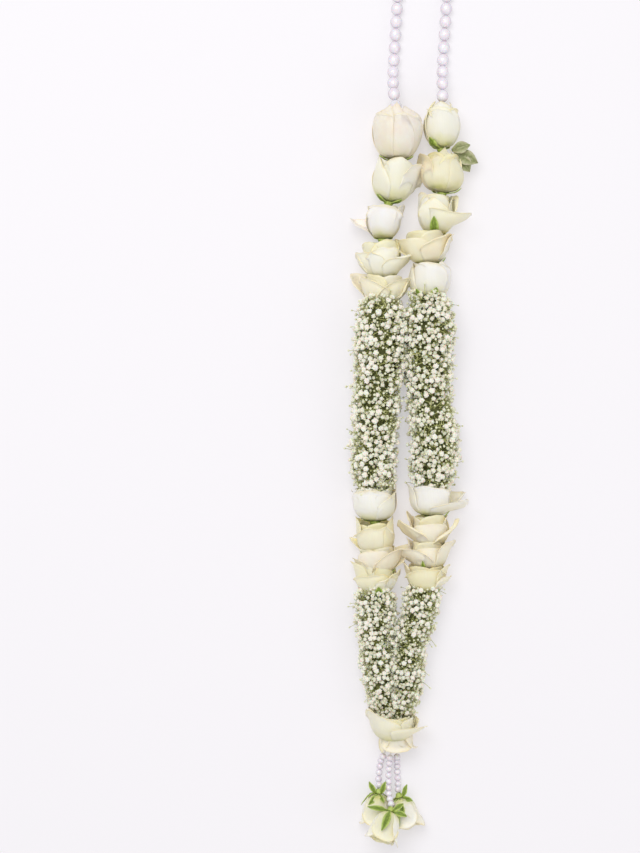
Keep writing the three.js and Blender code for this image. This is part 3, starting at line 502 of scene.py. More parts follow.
def petal_finish():
    """Fresh rose petal: waxy cells under a matt velvet bloom, thin enough for light to come through.

    So it looks milky, with no highlight and soft shade: greenish at the foot, white across the middle and
    warm at the rim, with fine veins up it. Each flower is a little creamier or pinker than the next.
    """
    material, tree, shader = new_finish(
        "fresh_rose_petal",
        Roughness=0.55,
        Specular_IOR_Level=0.35,
        Subsurface_Weight=0.35,
        Subsurface_Scale=2.5 * MM,
        Sheen_Weight=0.2,
        Sheen_Roughness=0.5,
    )
    shader.inputs["Subsurface Radius"].default_value = (1.0, 0.8, 0.45)
    uv = add(tree, "ShaderNodeUVMap", uv_map="petal")
    up = add(tree, "ShaderNodeSeparateXYZ", {"Vector": uv}).node.outputs["Y"]
    place = add(tree, "ShaderNodeTexCoord").node.outputs["Object"]
    blotch = add(tree, "ShaderNodeTexNoise", {"Vector": place, "Scale": 1 / (14 * MM), "Detail": 3.0})
    blotches = {"Value": blotch, "From Min": 0.3, "From Max": 0.7, "To Min": -0.07, "To Max": 0.07}
    shift = add(tree, "ShaderNodeMapRange", blotches)
    level = add(tree, "ShaderNodeMath", {0: up, 1: shift}, operation="ADD")
    foot_to_rim = [
        (0.0, "#D3D68F"),
        (0.12, "#EFECC8"),
        (0.3, "#FAF7EA"),
        (0.78, "#FDFBF4"),
        (0.9, "#FFFEFA"),
        (0.97, "#FDF9EE"),
        (1.0, "#F5EBD3"),
    ]
    body = add(tree, "ShaderNodeValToRGB", {"Fac": level}, stops=foot_to_rim)
    tone = add(tree, "ShaderNodeAttribute", attribute_name="tone").node.outputs["Fac"]
    blush = add(tree, "ShaderNodeAttribute", attribute_name="blush").node.outputs["Fac"]
    patch = add(tree, "ShaderNodeTexNoise", {"Vector": place, "Scale": 1 / (9 * MM), "Detail": 2.0})
    patches = {"Value": patch, "From Min": 0.3, "From Max": 0.7, "To Min": 0.4, "To Max": 1.0}
    patchy = add(tree, "ShaderNodeMapRange", patches)
    much = add(tree, "ShaderNodeMath", {0: patchy, 1: blush}, operation="MULTIPLY")
    pink = {"Factor": much, "A_Color": body, "B_Color": linear("#F9E6D9")}
    tinted = add(tree, "ShaderNodeMix", pink, data_type="RGBA")
    youth = add(tree, "ShaderNodeAttribute", attribute_name="youth").node.outputs["Fac"]
    greening = {"Value": youth, "From Min": 0.0, "From Max": 0.4, "To Min": 0.0, "To Max": 0.55}
    green = add(tree, "ShaderNodeMapRange", greening)
    young = {"Factor": green, "A_Color": tinted, "B_Color": linear("#F8F6CC")}
    tinted = add(tree, "ShaderNodeMix", young, data_type="RGBA")
    creams = [(0.0, "#FFFEFC"), (0.5, "#FDFBEC"), (1.0, "#F9F5D3")]
    cream = add(tree, "ShaderNodeValToRGB", {"Fac": tone}, stops=creams)
    creamy = {"Factor": 1.0, "A_Color": tinted, "B_Color": cream}
    toned = add(tree, "ShaderNodeMix", creamy, data_type="RGBA", blend_type="MULTIPLY")
    # Some thirty veins lie side by side across a petal, drawn a little coarser than life.
    fan = add(tree, "ShaderNodeTexWave", {"Vector": uv, "Scale": 9.0, "Distortion": 1.6, "Detail": 2.0})
    shading = {"Value": fan, "From Min": 0.0, "From Max": 0.35, "To Min": 0.97, "To Max": 1.0}
    vein = add(tree, "ShaderNodeMapRange", shading)
    veined = add(tree, "ShaderNodeVectorMath", {0: toned, 1: vein}, operation="MULTIPLY")
    tree.links.new(veined, shader.inputs["Base Color"])
    crepe = add(tree, "ShaderNodeTexNoise", {"Vector": place, "Scale": 1 / (1.6 * MM), "Detail": 3.0})
    heights = add(tree, "ShaderNodeMath", {0: crepe, 1: fan}, operation="ADD")
    bump = add(tree, "ShaderNodeBump", {"Height": heights, "Strength": 0.25, "Distance": 0.12 * MM})
    tree.links.new(bump, shader.inputs["Normal"])
    return material


petal_material = petal_finish()


def rose_frame(rose):
    """The rose's length, and its own frame: x to its right, y from base to rim, z up."""
    rest = rose["radius"] - FLATTENING
    low, high = rose.get("heights", (rest, rest))
    foot = Vector((*rose["base"], low))
    axis = Vector((*rose["rim"], high)) - foot
    length = axis.length
    axis.normalize()
    side = axis.cross(Vector((0, 0, 1))).normalized()
    up = side.cross(axis)
    turned = Matrix((side, axis, up)).transposed().to_4x4()
    return length, Matrix.Translation(foot) @ turned


def cup(rose, t, close=0.0):
    """How wide a rose's body is at a share t of its length, as a share of its radius."""
    belly = rose.get("belly", BELLY)
    below = np.sqrt(np.clip(1 - (1 - t / belly) ** 2 * (1 - FOOT**2), 0, 1))
    above = 1 - (rose["close"] + close) * ((t - belly) / (1 - belly)) ** 2
    tuck = 1 - rose.get("tuck", TUCK) * np.clip(1 - t / TUCKED, 0, 1) ** 2
    return np.where(t < belly, below * tuck, above)


def petal_sheet(rose, length, petal, shape, random):
    """One petal as a grid of points in the rose's frame: its outer face, across it and up it.

    skew moves the rim's highest point towards one side and spread is how wide that part leans out; drop is
    how much lower the corners are, power how suddenly, and curl the degrees that the rim rolls back.
    """
    turn, half, reach, flare, fold_back = petal
    across, up = shape["grid"]
    u = np.linspace(-1, 1, across)[None, :]
    v = np.linspace(0, 1, up)[:, None] ** 0.9
    skew = shape.get("skew", 0)
    peak = PEAK_SHIFT * skew
    side = np.abs(u - peak) / (1 + abs(peak))
    wave = random.uniform(0.3, 1.0) * np.sin(random.uniform(4, 7) * u + random.uniform(0, 6))
    roll_start = ROLL_START if shape["curl"] > ROLLS else HARD_EDGE
    flat = np.minimum(v, roll_start)
    tip = TIP[0] * v**6 * np.exp(-(((u - peak) / TIP[1]) ** 2))
    lower = shape["drop"] * side ** shape.get("power", 2.6) + CORNER * np.abs(u) ** 7
    t = (flat * (1 - lower) + tip) * reach
    outward = np.clip((v - LEAN[0]) / LEAN[1], 0, 1)
    inner_side = np.abs(u) if skew == 0 else np.maximum((peak - u) * np.sign(skew), 0)
    lean = outward**2 * (3 - 2 * outward) * np.exp(-((inner_side / shape.get("spread", 1.2)) ** 2))
    fold = fold_back * side**2 * np.clip((v - FOLD[0]) / FOLD[1], 0, 1)
    lap = LAP * rose["hand"] * u * np.minimum(1, 2 * t)
    aslant = np.sin(5.1 * u + 3.3 * v + random.uniform(0, 6))
    crumple = CRUMPLE * v * aslant * np.cos(4.3 * v + random.uniform(0, 6))
    pleat = PLEAT * np.clip(v - 0.2, 0, 1) * np.exp(-(((u - random.uniform(-0.3, 0.3)) / 0.12) ** 2))
    body = rose["radius"] * shape["width"] * cup(rose, t, shape["close"])
    radius = body + flare * lean + 0.5 * fold + lap + crumple - pleat
    # The rim rolls back round an arc as long as the petal above the roll's start.
    uneven = 1 + 0.4 * np.sin(2.4 * u + random.uniform(0, 6))
    curl = np.radians(shape["curl"] * random.uniform(0.7, 1.2)) * uneven
    turned = curl * np.clip((v - roll_start) / (1 - roll_start), 0, 1)
    arc = (1 - roll_start) * length * reach / curl
    radius = np.maximum(radius + arc * (1 - np.cos(turned)), 0.6)
    level = length * t - 0.7 * fold + arc * np.sin(turned) + shape["rim"] * wave * v**4
    angle = np.radians(turn + half * u)
    return np.stack([radius * np.sin(angle), level + 0 * angle, radius * np.cos(angle)], -1)


def sheets_mesh(name, sheets, place):
    """Grids of points in a rose's frame as one mesh, each with its own unwrapping.

    Sheets are [(grid, material number, marks)], with a mark for each thing that the material asks about.
    """
    matrix = np.array(place)
    points, faces, uvs, numbers = [], [], [], []
    for grid, number, _ in sheets:
        rows, columns = grid.shape[:2]
        index = sum(map(len, points)) + np.arange(rows * columns).reshape(rows, columns)
        points.append(grid.reshape(-1, 3) @ matrix[:3, :3].T + matrix[:3, 3])
        quads = [index[:-1, :-1], index[:-1, 1:], index[1:, 1:], index[1:, :-1]]
        faces.append(np.stack(quads, -1).reshape(-1, 4))
        across_up = np.meshgrid(np.linspace(0, 1, columns), np.linspace(0, 1, rows))
        uvs.append(np.stack(across_up, -1).reshape(-1, 2))
        numbers += [number] * len(faces[-1])
    lengths = [len(p) for p in points]
    points, faces, uvs = np.vstack(points), np.vstack(faces), np.vstack(uvs)
    points[:, 2] = np.maximum(points[:, 2], LOWEST)
    mesh = bpy.data.meshes.new(name)
    mesh.from_pydata((points * MM).tolist(), [], faces.tolist())
    mesh.uv_layers.new(name="petal").data.foreach_set("uv", uvs[faces.reshape(-1)].reshape(-1))
    mesh.polygons.foreach_set("material_index", numbers)
    for mark in sheets[0][2]:
        values = np.repeat([marks[mark] for _, _, marks in sheets], lengths)
        mesh.attributes.new(mark, "FLOAT", "POINT").data.foreach_set("value", values)
    mesh.shade_smooth()
    return mesh


def rose_mesh(name, rose, seed):
    """All petals of one rose, each marked with how cream, how young and how pink it is."""
    random = np.random.default_rng(seed)
    length, place = rose_frame(rose)
    petals = [(petal[:5], {**OUTER_RIM, **petal[5]}) for petal in rose["petals"]]
    petals += [(petal, PLAIN_RIM) for petal in UNDER_PETALS]
    highest = max(petal[2] for petal in rose["petals"])
    for count, width, half, close, reach in INNER_RINGS:
        start = random.uniform(0, 360)
        for k in range(count):
            turn = start + 360 * (k + random.uniform(-0.12, 0.12)) / count
            tall = highest * reach * rose.get("heart", 1) * random.uniform(0.97, 1.02)
            petals.append(((turn, half, tall, 0, 0), {**INNER_RIM, "width": width, "close": close}))
    sheets = []
    for petal, shape in petals:
        grid = petal_sheet(rose, length, petal, shape, random)
        marks = {
            "tone": rose["warmth"] + random.uniform(-0.25, 0.25),
            "youth": 1 - shape["width"],
            "blush": rose["blush"] + shape.get("blush", 0),
        }
        sheets.append((grid, 0, marks))
    return sheets_mesh(name, sheets, place)


for seed, (name, rose) in enumerate(ROSES.items(), PETAL_SEED):
    mesh = rose_mesh(f"petals_{name}", rose, seed)
    mesh.materials.append(petal_material)
    flower = linked(bpy.data.objects.new(f"petals_{name}", mesh))
    wall = flower.modifiers.new("petal_thickness", "SOLIDIFY")
    wall.thickness = PETAL_THICKNESS * MM
    wall.offset = -1
    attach(flower, "root")
    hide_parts(f"rose_{name}")

# ------------------------------------------------------------------ calyxes
# Under each strung rose is the top of its stem, a green cup, with what is left of its five sepals: long
# ones on the tassel's roses, a torn few elsewhere, and a tuft of grey-green leaves under one of the roses.
SEPAL_ROOT = 3.24  # how far from the rose's axis a sepal starts
SEPAL_THICKNESS = 0.55
# turn in degrees about the rose, length, width and how far the tip stands off the petals
SEPALS = {
    "left_2": [(-52, 4, 7, 1), (50, 3.5, 7, 1)],
    "right_1": [(-46, 9, 10, 2)],
    "right_3": [(-12, 17, 9, 2)],
    "right_5": [(14, 10, 9, 2), (-40, 8, 6, 2)],
    "middle_left_4": [(0, 9, 8, 2)],
    "middle_right_3": [(-22, 10, 4, 1)],
    "tassel_left": [(110, 14, 4, 3), (-120, 12, 4, 2)],
    "tassel_right": [(-130, 12, 4, 2)],
    "tassel_front": [(-120, 12, 4, 2)],
}
# in the rose's frame: where a sepal that stands clear of the petals starts, where its tip is, and its width
OPEN_SEPALS = {
    "tassel_left": [
        ((3, 0, 3), (11.4, -11, 4), 5), ((-2, 0, 3), (-5, -13.5, 5), 5),
        ((1, 0, 4), (9, 11, 11), 6), ((-1, 0, 4), (-6, 7, 12), 5),
    ],
    "tassel_right": [
        ((-3, 0, 3), (-10.5, -11.5, 4), 4.5), ((-3, 0, 4), (-12, 5, 9), 5),
        ((0, 0, 5), (0.5, 17, 15), 5), ((2, 0, 4), (11, 13, 9), 7),
    ],
    "tassel_front": [
        ((3, 0, 3), (23.5, 3, 4), 5), ((1, 0, 7), (4.5, 24, 20), 8.5),
        ((-3, 0, 4), (-17, 0, 5), 5.5), ((-2, -1, 4), (-10, -11, 5), 5),
    ],
}
# the same of the leaves
LEAVES = {
    "right_1": [
        ((10, -3, 4), (28, 3, 8), 12), ((12, -5, 2), (37, -14, 0), 15), ((16, -7, 1), (29, -23, -1), 15),
    ],
}
# the cup's outline: radius, and level above the rose's base
CUP_OUTLINE = [
    (0.4, -5.0), (2.7, -5.05), (3.6, -4.6), (4.1, -3.4), (4.8, -1.8), (5.2, -0.6), (4.4, -0.2), (1.0, -0.1),
]
TASSEL_CUP = 0.75  # how wide the cups of the tassel's small roses are beside the others
STUMP = (5.5, 5.5, 0.4)  # the torn foot of a sepal: length, width and lift
TRIMMED = 75  # within so many degrees of the top, the torn sepals are trimmed off
BESIDE = 30  # within so many degrees of a long sepal there is no torn one
SEPAL_SEED = 70


def green_finish(name, dark, light, edge):
    """Fresh green leaf skin: waxy, with a soft gloss, a pale vein between dark bands, and pale margins."""
    material, tree, shader = new_finish(
        name, Roughness=0.48, Specular_IOR_Level=0.4, Subsurface_Weight=0.12, Subsurface_Scale=1 * MM
    )
    shader.inputs["Subsurface Radius"].default_value = (0.4, 1.0, 0.2)
    uv = add(tree, "ShaderNodeUVMap", uv_map="petal")
    place = add(tree, "ShaderNodeTexCoord").node.outputs["Object"]
    parts = add(tree, "ShaderNodeSeparateXYZ", {"Vector": uv})
    off_middle = add(tree, "ShaderNodeMath", {0: parts, 1: 0.5}, operation="SUBTRACT")
    distance = add(tree, "ShaderNodeMath", {0: off_middle}, operation="ABSOLUTE")
    mottle = add(tree, "ShaderNodeTexNoise", {"Vector": place, "Scale": 1 / (3 * MM), "Detail": 4.0})
    spots = {"Value": mottle, "From Min": 0.3, "From Max": 0.7, "To Min": -0.12, "To Max": 0.12}
    spread = add(tree, "ShaderNodeMapRange", spots)
    level = add(tree, "ShaderNodeMath", {0: distance, 1: spread}, operation="ADD")
    vein_to_margin = [(0.0, light), (0.08, dark), (0.3, light), (0.5, edge)]
    colour = add(tree, "ShaderNodeValToRGB", {"Fac": level}, stops=vein_to_margin)
    tree.links.new(colour, shader.inputs["Base Color"])
    bump = add(tree, "ShaderNodeBump", {"Height": mottle, "Strength": 0.4, "Distance": 0.15 * MM})
    tree.links.new(bump, shader.inputs["Normal"])
    return material


# Sepals are a bright yellow-green. The leaves are olive under a grey bloom, so they look dusty.
sepal_material = green_finish("rose_sepal", "#5F7424", "#90A846", "#C4D377")
leaf_material = green_finish("dusty_rose_leaf", "#7A8050", "#A2A678", "#BFBD9C")


def sepal_sheet(rose, length, sepal, random, across=9, up=13):
    """One sepal that lies on the petals, keeled along its middle: a grid of points in the rose's frame."""
    turn, reach, width, lift = sepal
    u = np.linspace(-1, 1, across)[None, :]
    v = np.linspace(0, 1, up)[:, None]
    breadth = width / 2 * np.sin(np.pi * np.clip(0.15 + 0.85 * v, 0, 1) ** 1.2) + 0.12
    t = np.clip(reach * v / length, 0, 1)
    over_petals = rose["radius"] * cup(rose, t) + 1.6
    radius = SEPAL_ROOT + (over_petals - SEPAL_ROOT) * np.clip(3 * v, 0, 1) + lift * v**2
    keel = 0.16 * width * np.abs(u) ** 1.5 * np.sin(np.pi * v)
    radius = radius - keel + 0.25 * np.sin(7 * v + random.uniform(0, 6))
    angle = math.radians(turn)
    sway = random.uniform(-0.12, 0.12) * reach * v**2
    x = radius * math.sin(angle) + (u * breadth + sway) * math.cos(angle)
    z = radius * math.cos(angle) - (u * breadth + sway) * math.sin(angle)
    level = reach * v - 2.4 * (1 - v) + 0 * u
    return np.stack([x, level, z], -1)


def leaf_sheet(start, tip, width, across=9, up=15):
    """One open sepal or leaf, folded up a little along its middle and arched along its length."""
    start, tip = np.array(start, float), np.array(tip, float)
    heading = tip - start
    reach = np.linalg.norm(heading)
    side = np.cross(heading / reach, [0, 0, 1])
    u = np.linspace(-1, 1, across)[None, :, None]
    v = np.linspace(0, 1, up)[:, None, None]
    breadth = width / 2 * np.sin(np.pi * np.clip(0.08 + 0.92 * v, 0, 1) ** 1.1) + 0.15
    rise = 0.12 * reach * np.sin(np.pi * v) + 0.3 * np.abs(u) * breadth + 0.3 * np.sin(9 * v + 4 * u)
    return start + heading * v + side * u * breadth + np.array([0, 0, 1]) * rise


def cup_sheet(scale, sides=20):
    """The green cup under a rose, from its cut end round its side to its top, as rings of points."""
    turn = np.linspace(0, 2 * np.pi, sides + 1)[None, :]
    radius = scale * np.array([r for r, _ in CUP_OUTLINE])[:, None] * (1 + 0.04 * np.cos(5 * turn))
    level = np.array([y for _, y in CUP_OUTLINE])[:, None] + 0 * turn
    return np.stack([radius * np.sin(turn), level, radius * np.cos(turn)], -1)


for seed, (name, rose) in enumerate(ROSES.items(), SEPAL_SEED):
    if name.startswith("join"):
        continue
    random = np.random.default_rng(seed)
    length, place = rose_frame(rose)
    sheets = [(cup_sheet(TASSEL_CUP if name.startswith("tassel") else 1), 0, {})]
    long_ones = SEPALS.get(name, [])
    for k in range(5):
        turn = 72 * k + random.uniform(-12, 12)
        from_top = abs((turn + 180) % 360 - 180)
        clear = all(abs((turn - sepal[0] + 180) % 360 - 180) > BESIDE for sepal in long_ones)
        if clear and from_top > TRIMMED:
            reach, width, lift = (size * random.uniform(0.7, 1.2) for size in STUMP)
            sheets.append((sepal_sheet(rose, length, (turn, reach, width, lift), random), 0, {}))
    sheets += [(sepal_sheet(rose, length, sepal, random), 0, {}) for sepal in long_ones]
    sheets += [(leaf_sheet(*sepal), 0, {}) for sepal in OPEN_SEPALS.get(name, [])]
    sheets += [(leaf_sheet(*leaf), 1, {}) for leaf in LEAVES.get(name, [])]
    mesh = sheets_mesh(f"sepals_{name}", sheets, place)
    mesh.materials.append(sepal_material)
    mesh.materials.append(leaf_material)
    calyx = linked(bpy.data.objects.new(f"sepals_{name}", mesh))
    wall = calyx.modifiers.new("leaf_thickness", "SOLIDIFY")
    wall.thickness = SEPAL_THICKNESS * MM
    wall.offset = -1
    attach(calyx, "root")
    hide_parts(f"calyx_{name}")

# ------------------------------------------------------------------ baby's breath
# Sprigs of double baby's breath bound round the thread into four sleeves: hundreds of white florets on wiry
# stalks, with round green-white buds among them, over a thicket of olive stems whose dark colour is partly
# painted shade.
FLORET = {"width": 5.8, "spacing": 4.5, "stalk": 9}
BUD = {"width": 2.4, "spacing": 3.1}
STEM_RADIUS = 0.28
RING_SPACING = 5  # of the rings of points that a sleeve's surface is made of
INSIDE = 1.0  # how far within the tips of the florets that surface lies
THICKET_DEPTH = 7.5  # how far within the surface the thicket lies
ROUGHNESS = 4  # how deep the hollows of the thicket are
CLUMPS = 8  # from one clump of florets to the next
TUFTS = 12  # from one tuft of green buds to the next
OVER_SEAM = 2.2  # how far over the seam with the neighbouring sleeve the middle of a floret may lie
FLOOR = 3.0  # how close to the surface the middle of a floret comes
ALL_ROUND = 3.14  # half a turn, in radians
CLOSER = {"scale": 0.86, "spacing": 3.7 * MM}  # the lower sleeves have smaller florets, closer together
UPPER_SEAM = ((-9.5, 80), (-7.5, -10))
LOWER_SEAM = ((-15, -240), (-20, -340))
# Each sleeve's stations are (x, y, half-width); keep is the side of the seam with its neighbour that it has.
SLEEVES = {
    "upper_left": dict(seam=UPPER_SEAM, keep=-1, stations=[
        (-28, 68, 16), (-31, 60, 24), (-32, 44, 26), (-32.5, 22, 26.5), (-35, -6, 24.5),
        (-36.5, -28, 23), (-38, -58, 23.5), (-38.5, -88, 22), (-38.5, -106, 21), (-38, -116.5, 18)]),
    "upper_right": dict(seam=UPPER_SEAM, keep=1, stations=[
        (12, 73, 17), (14.5, 64, 25), (15.5, 50, 26.5), (15, 22, 25.5), (16, -6, 23.5),
        (16, -28, 22.5), (20.5, -58, 24), (21, -88, 24), (19, -104, 21.5), (18, -113.5, 18)]),
    "lower_left": dict(seam=LOWER_SEAM, keep=-1, stations=[
        (-35, -217, 17), (-38, -228, 20.5), (-37, -254, 19.5), (-36, -278, 18.5),
        (-33, -305, 17.5), (-30, -322, 16), (-27, -336, 14), (-24.5, -350, 10)]),
    "lower_right": dict(seam=LOWER_SEAM, keep=1, stations=[
        (12, -214, 16), (9.5, -226, 18.5), (4.5, -250, 18.5), (-3.5, -276, 17.5),
        (-5, -303, 17.5), (-8, -322, 16), (-10.5, -336, 14), (-11.5, -352, 10)]),
}
WHITE, GREEN, PALE, THICKET = 0, 1, 2, 3  # what a face is part of: floret, stalk, bud, or stems within


def plant_finish(name, dark, light, scale, **uniform):
    """A plant's skin whose colour wanders between two, over patches of a given size in mm."""
    material, tree, shader = new_finish(name, **uniform)
    place = add(tree, "ShaderNodeTexCoord").node.outputs["Object"]
    patch = add(tree, "ShaderNodeTexNoise", {"Vector": place, "Scale": 1 / (scale * MM), "Detail": 2.0})
    tone = add(tree, "ShaderNodeAttribute", attribute_name="tone").node.outputs["Fac"]
    both = add(tree, "ShaderNodeMath", {0: patch, 1: 0.5}, operation="MULTIPLY")
    mixed = add(tree, "ShaderNodeMath", {0: tone, 1: 0.5, 2: both}, operation="MULTIPLY_ADD")
    colour = add(tree, "ShaderNodeValToRGB", {"Fac": mixed}, stops=[(0.25, dark), (0.6, light)])
    tree.links.new(colour, shader.inputs["Base Color"])
    return material


# Dry and matt, with no highlight. Florets are papery and creamy white, some with a green shade, buds are
# green-white, stalks wiry and olive, and the stems within dark olive, partly their own colour and partly
# painted shade of the deep gaps among them, so that the florets stand out.
dry = {"Roughness": 0.75, "Specular_IOR_Level": 0.25}
papery = {"Subsurface_Weight": 0.2, "Subsurface_Scale": 1 * MM, **dry}
floret_material = plant_finish("papery_floret", "#D8D7BE", "#F1EEE0", 9, **papery)
stalk_material = plant_finish("wiry_stalk", "#838948", "#B9BC7A", 6, **dry)
bud_material = plant_finish("floret_bud", "#C7CB8A", "#E9E9CC", 6, **dry)
stems_and_painted_shade_material = plant_finish("stem_thicket", "#5D6036", "#83854E", 3, **dry)


def shape_object(name, points, faces, parts):
    """A small closed shape to be repeated, with what each face is part of. It isn't shown itself."""
    mesh = bpy.data.meshes.new(name)
    mesh.from_pydata([Vector(p) * MM for p in points], [], faces)
    mesh.attributes.new("part", "INT", "FACE").data.foreach_set("value", parts)
    return bpy.data.objects.new(name, mesh)


def stalk(length, radius):
    """A three-sided stalk from the origin downwards: its points, faces and parts."""
    turn = [2 * math.pi * k / 3 for k in range(3)]
    points = [(radius * math.cos(a), radius * math.sin(a), z) for z in (0, -length) for a in turn]
    sides = [(k, k + 3, (k + 1) % 3 + 3, (k + 1) % 3) for k in range(3)]
    return points, sides + [(0, 1, 2), (5, 4, 3)], [GREEN] * 5


def floret_shape(seed, petals=5):
    """A double floret: a ball of ruffled petals over a green calyx on its stalk."""
    random = np.random.default_rng(seed)
    half = FLORET["width"] / 2
    points, faces, parts = stalk(FLORET["stalk"], STEM_RADIUS)
    start, n = len(points), 2 * petals
    turn = 2 * np.pi * np.arange(n) / n
    out = np.arange(n) % 2 == 0
    # Three rings of points: the foot, the widest and the brow. Radius and level are shares of the floret's
    # half-width, and on the upper two they differ from the petals to the gaps between them.
    rings = [(np.full(n, 0.3), np.full(n, -0.75))]
    for radii, levels, narrowest, uneven in (
        ((1.0, 0.74), (0.0, -0.12), 0.88, 0.1),
        ((0.62, 0.78), (0.42, 0.6), 0.85, 0.08),
    ):
        radius = np.where(out, *radii) * random.uniform(narrowest, 1.1, n)
        rings.append((radius, np.where(out, *levels) + random.uniform(-uneven, uneven, n)))
    for radius, level in rings:
        points += list(zip(half * radius * np.cos(turn), half * radius * np.sin(turn), half * level))
    low, top = len(points), len(points) + 1
    points += [(0, 0, -0.95 * half), (0, 0, 0.7 * half)]
    for k in range(n):
        a, b = start + k, start + (k + 1) % n
        faces += [(low, b, a), (a, b, b + n, a + n)]
        a, b = a + n, b + n
        faces += [(a, b, b + n), (a, b + n, a + n), (top, a + n, b + n)]
        parts += [GREEN, PALE, WHITE, WHITE, WHITE]
    return shape_object(f"floret_{seed}", points, faces, parts)


def bud_shape():
    """A round bud on its stalk, of a few facets."""
    half = BUD["width"] / 2
    points, faces, parts = stalk(FLORET["stalk"], STEM_RADIUS)
    start, n = len(points), 6
    turn = [2 * math.pi * k / n for k in range(n)]
    for level, radius in ((-0.6, 0.8), (0.35, 0.95)):
        points += [(half * radius * math.cos(a), half * radius * math.sin(a), half * level) for a in turn]
    low, top = len(points), len(points) + 1
    points += [(0, 0, -1.1 * half), (0, 0, 1.05 * half)]
    for k in range(n):
        a, b = start + k, start + (k + 1) % n
        faces += [(low, b, a), (a, b, b + n, a + n), (top, a + n, b + n)]
        parts += [GREEN, PALE, PALE]
    return shape_object("bud", points, faces, parts)


florets = bpy.data.collections.new("florets")
for seed in range(4):
    florets.objects.link(floret_shape(seed))
bud = bud_shape()
bare_stalk = shape_object("stalk", *stalk(FLORET["stalk"], STEM_RADIUS))


def sleeve_surface(name, sleeve, sides=28):
    """A sleeve's outline as a closed tube of rings, a little inside the tips of its florets."""
    stations = np.array(sleeve["stations"], float)
    middle = np.column_stack([stations[:, 0], stations[:, 1], stations[:, 2] - FLATTENING])
    centres = smooth_route(middle, 1.0)
    shares = np.linspace(0, 1, 2 + int(len(centres) / RING_SPACING))
    places = along(centres, shares)
    run = np.concatenate([[0], np.cumsum(np.linalg.norm(np.diff(middle, axis=0), axis=1))])
    widths = np.interp(shares * run[-1], run, stations[:, 2])
    heading = np.gradient(places, axis=0)
    heading /= np.linalg.norm(heading, axis=1)[:, None]
    side = np.cross(heading, [0, 0, 1])
    side /= np.linalg.norm(side, axis=1)[:, None]
    up = np.cross(side, heading)
    turn = 2 * np.pi * np.arange(sides) / sides
    spread = side[:, None] * np.sin(turn)[None, :, None] + up[:, None] * np.cos(turn)[None, :, None]
    rings = places[:, None] + (widths[:, None, None] - INSIDE) * spread
    points = list(rings.reshape(-1, 3)) + [places[0], places[-1]]
    first, last = len(points) - 2, len(points) - 1
    faces = []
    for j in range(len(places) - 1):
        for i in range(sides):
            a, b = j * sides + i, j * sides + (i + 1) % sides
            faces.append((a, b, b + sides, a + sides))
    end = (len(places) - 1) * sides
    for i in range(sides):
        nxt = (i + 1) % sides
        faces += [(first, nxt, i), (last, end + i, end + nxt)]
    # Points are thinned out in the order of the faces, which in rings would leave them in rows.
    np.random.default_rng(1).shuffle(faces)
    mesh = bpy.data.meshes.new(name)
    mesh.from_pydata([Vector(p) * MM for p in points], [], faces)
    return linked(bpy.data.objects.new(name, mesh))


tree, size, result = new_tree(
    "sleeve_of_florets",
    spacing=FLORET["spacing"] * MM,
    bud_spacing=BUD["spacing"] * MM,
    scale=1.0,
    depth=THICKET_DEPTH * MM,
    floor=FLOOR * MM,
    seam_place=(0.0, 0.0, 0.0),
    seam_normal=(1.0, 0.0, 0.0),
    seed=1,
)


def scatter(points, rotation, pick, seed, tilt, sizes, depths):
    """Sets shapes on points of the sleeve, each sunk, tilted, sized and toned by chance."""
    sink = add(tree, "FunctionNodeRandomValue", {"Min": depths[0] * MM, "Max": depths[1] * MM, "Seed": seed})
    normal = points.node.outputs["Normal"]
    offset = add(tree, "ShaderNodeVectorMath", {0: normal, "Scale": sink}, operation="SCALE")
    sunk = add(tree, "GeometryNodeSetPosition", {"Geometry": points, "Offset": offset})
    where = add(tree, "GeometryNodeInputPosition")
    beyond = add(tree, "ShaderNodeVectorMath", {0: where, 1: size["seam_place"]}, operation="SUBTRACT")
    side = add(tree, "ShaderNodeVectorMath", {0: beyond, 1: size["seam_normal"]}, operation="DOT_PRODUCT")
    crossed = add(tree, "FunctionNodeCompare", {"A": side, "B": OVER_SEAM * MM}, operation="GREATER_THAN")
    kept = add(tree, "GeometryNodeDeleteGeometry", {"Geometry": sunk, "Selection": crossed})
    here = add(tree, "GeometryNodeInputPosition")
    place = add(tree, "ShaderNodeSeparateXYZ", {"Vector": here}).node.outputs
    lifted = add(tree, "ShaderNodeMath", {0: place["Z"], 1: size["floor"]}, operation="MAXIMUM")
    spot = add(tree, "ShaderNodeCombineXYZ", {"X": place["X"], "Y": place["Y"], "Z": lifted})
    settled = add(tree, "GeometryNodeSetPosition", {"Geometry": kept, "Position": spot})
    lean = {"Min": (-tilt, -tilt, -ALL_ROUND), "Max": (tilt, tilt, ALL_ROUND), "Seed": seed}
    turn = add(tree, "FunctionNodeRandomValue", lean, data_type="FLOAT_VECTOR")
    by = add(tree, "FunctionNodeEulerToRotation", {"Euler": turn})
    facing = {"Rotation": rotation, "Rotate By": by}
    faced = add(tree, "FunctionNodeRotateRotation", facing, rotation_space="LOCAL")
    chosen = add(tree, "FunctionNodeRandomValue", {"Min": sizes[0], "Max": sizes[1], "Seed": seed})
    grown = add(tree, "ShaderNodeMath", {0: chosen, 1: size["scale"]}, operation="MULTIPLY")
    placed = {"Points": settled, "Instance": pick, "Rotation": faced, "Scale": grown, "Pick Instance": True}
    set_down = add(tree, "GeometryNodeInstanceOnPoints", placed)
    chance = add(tree, "FunctionNodeRandomValue", {"Min": 0.0, "Max": 1.0, "Seed": seed})
    toned = {"Geometry": set_down, "Name": "tone", "Value": chance}
    return add(tree, "GeometryNodeStoreNamedAttribute", toned, domain="INSTANCE")


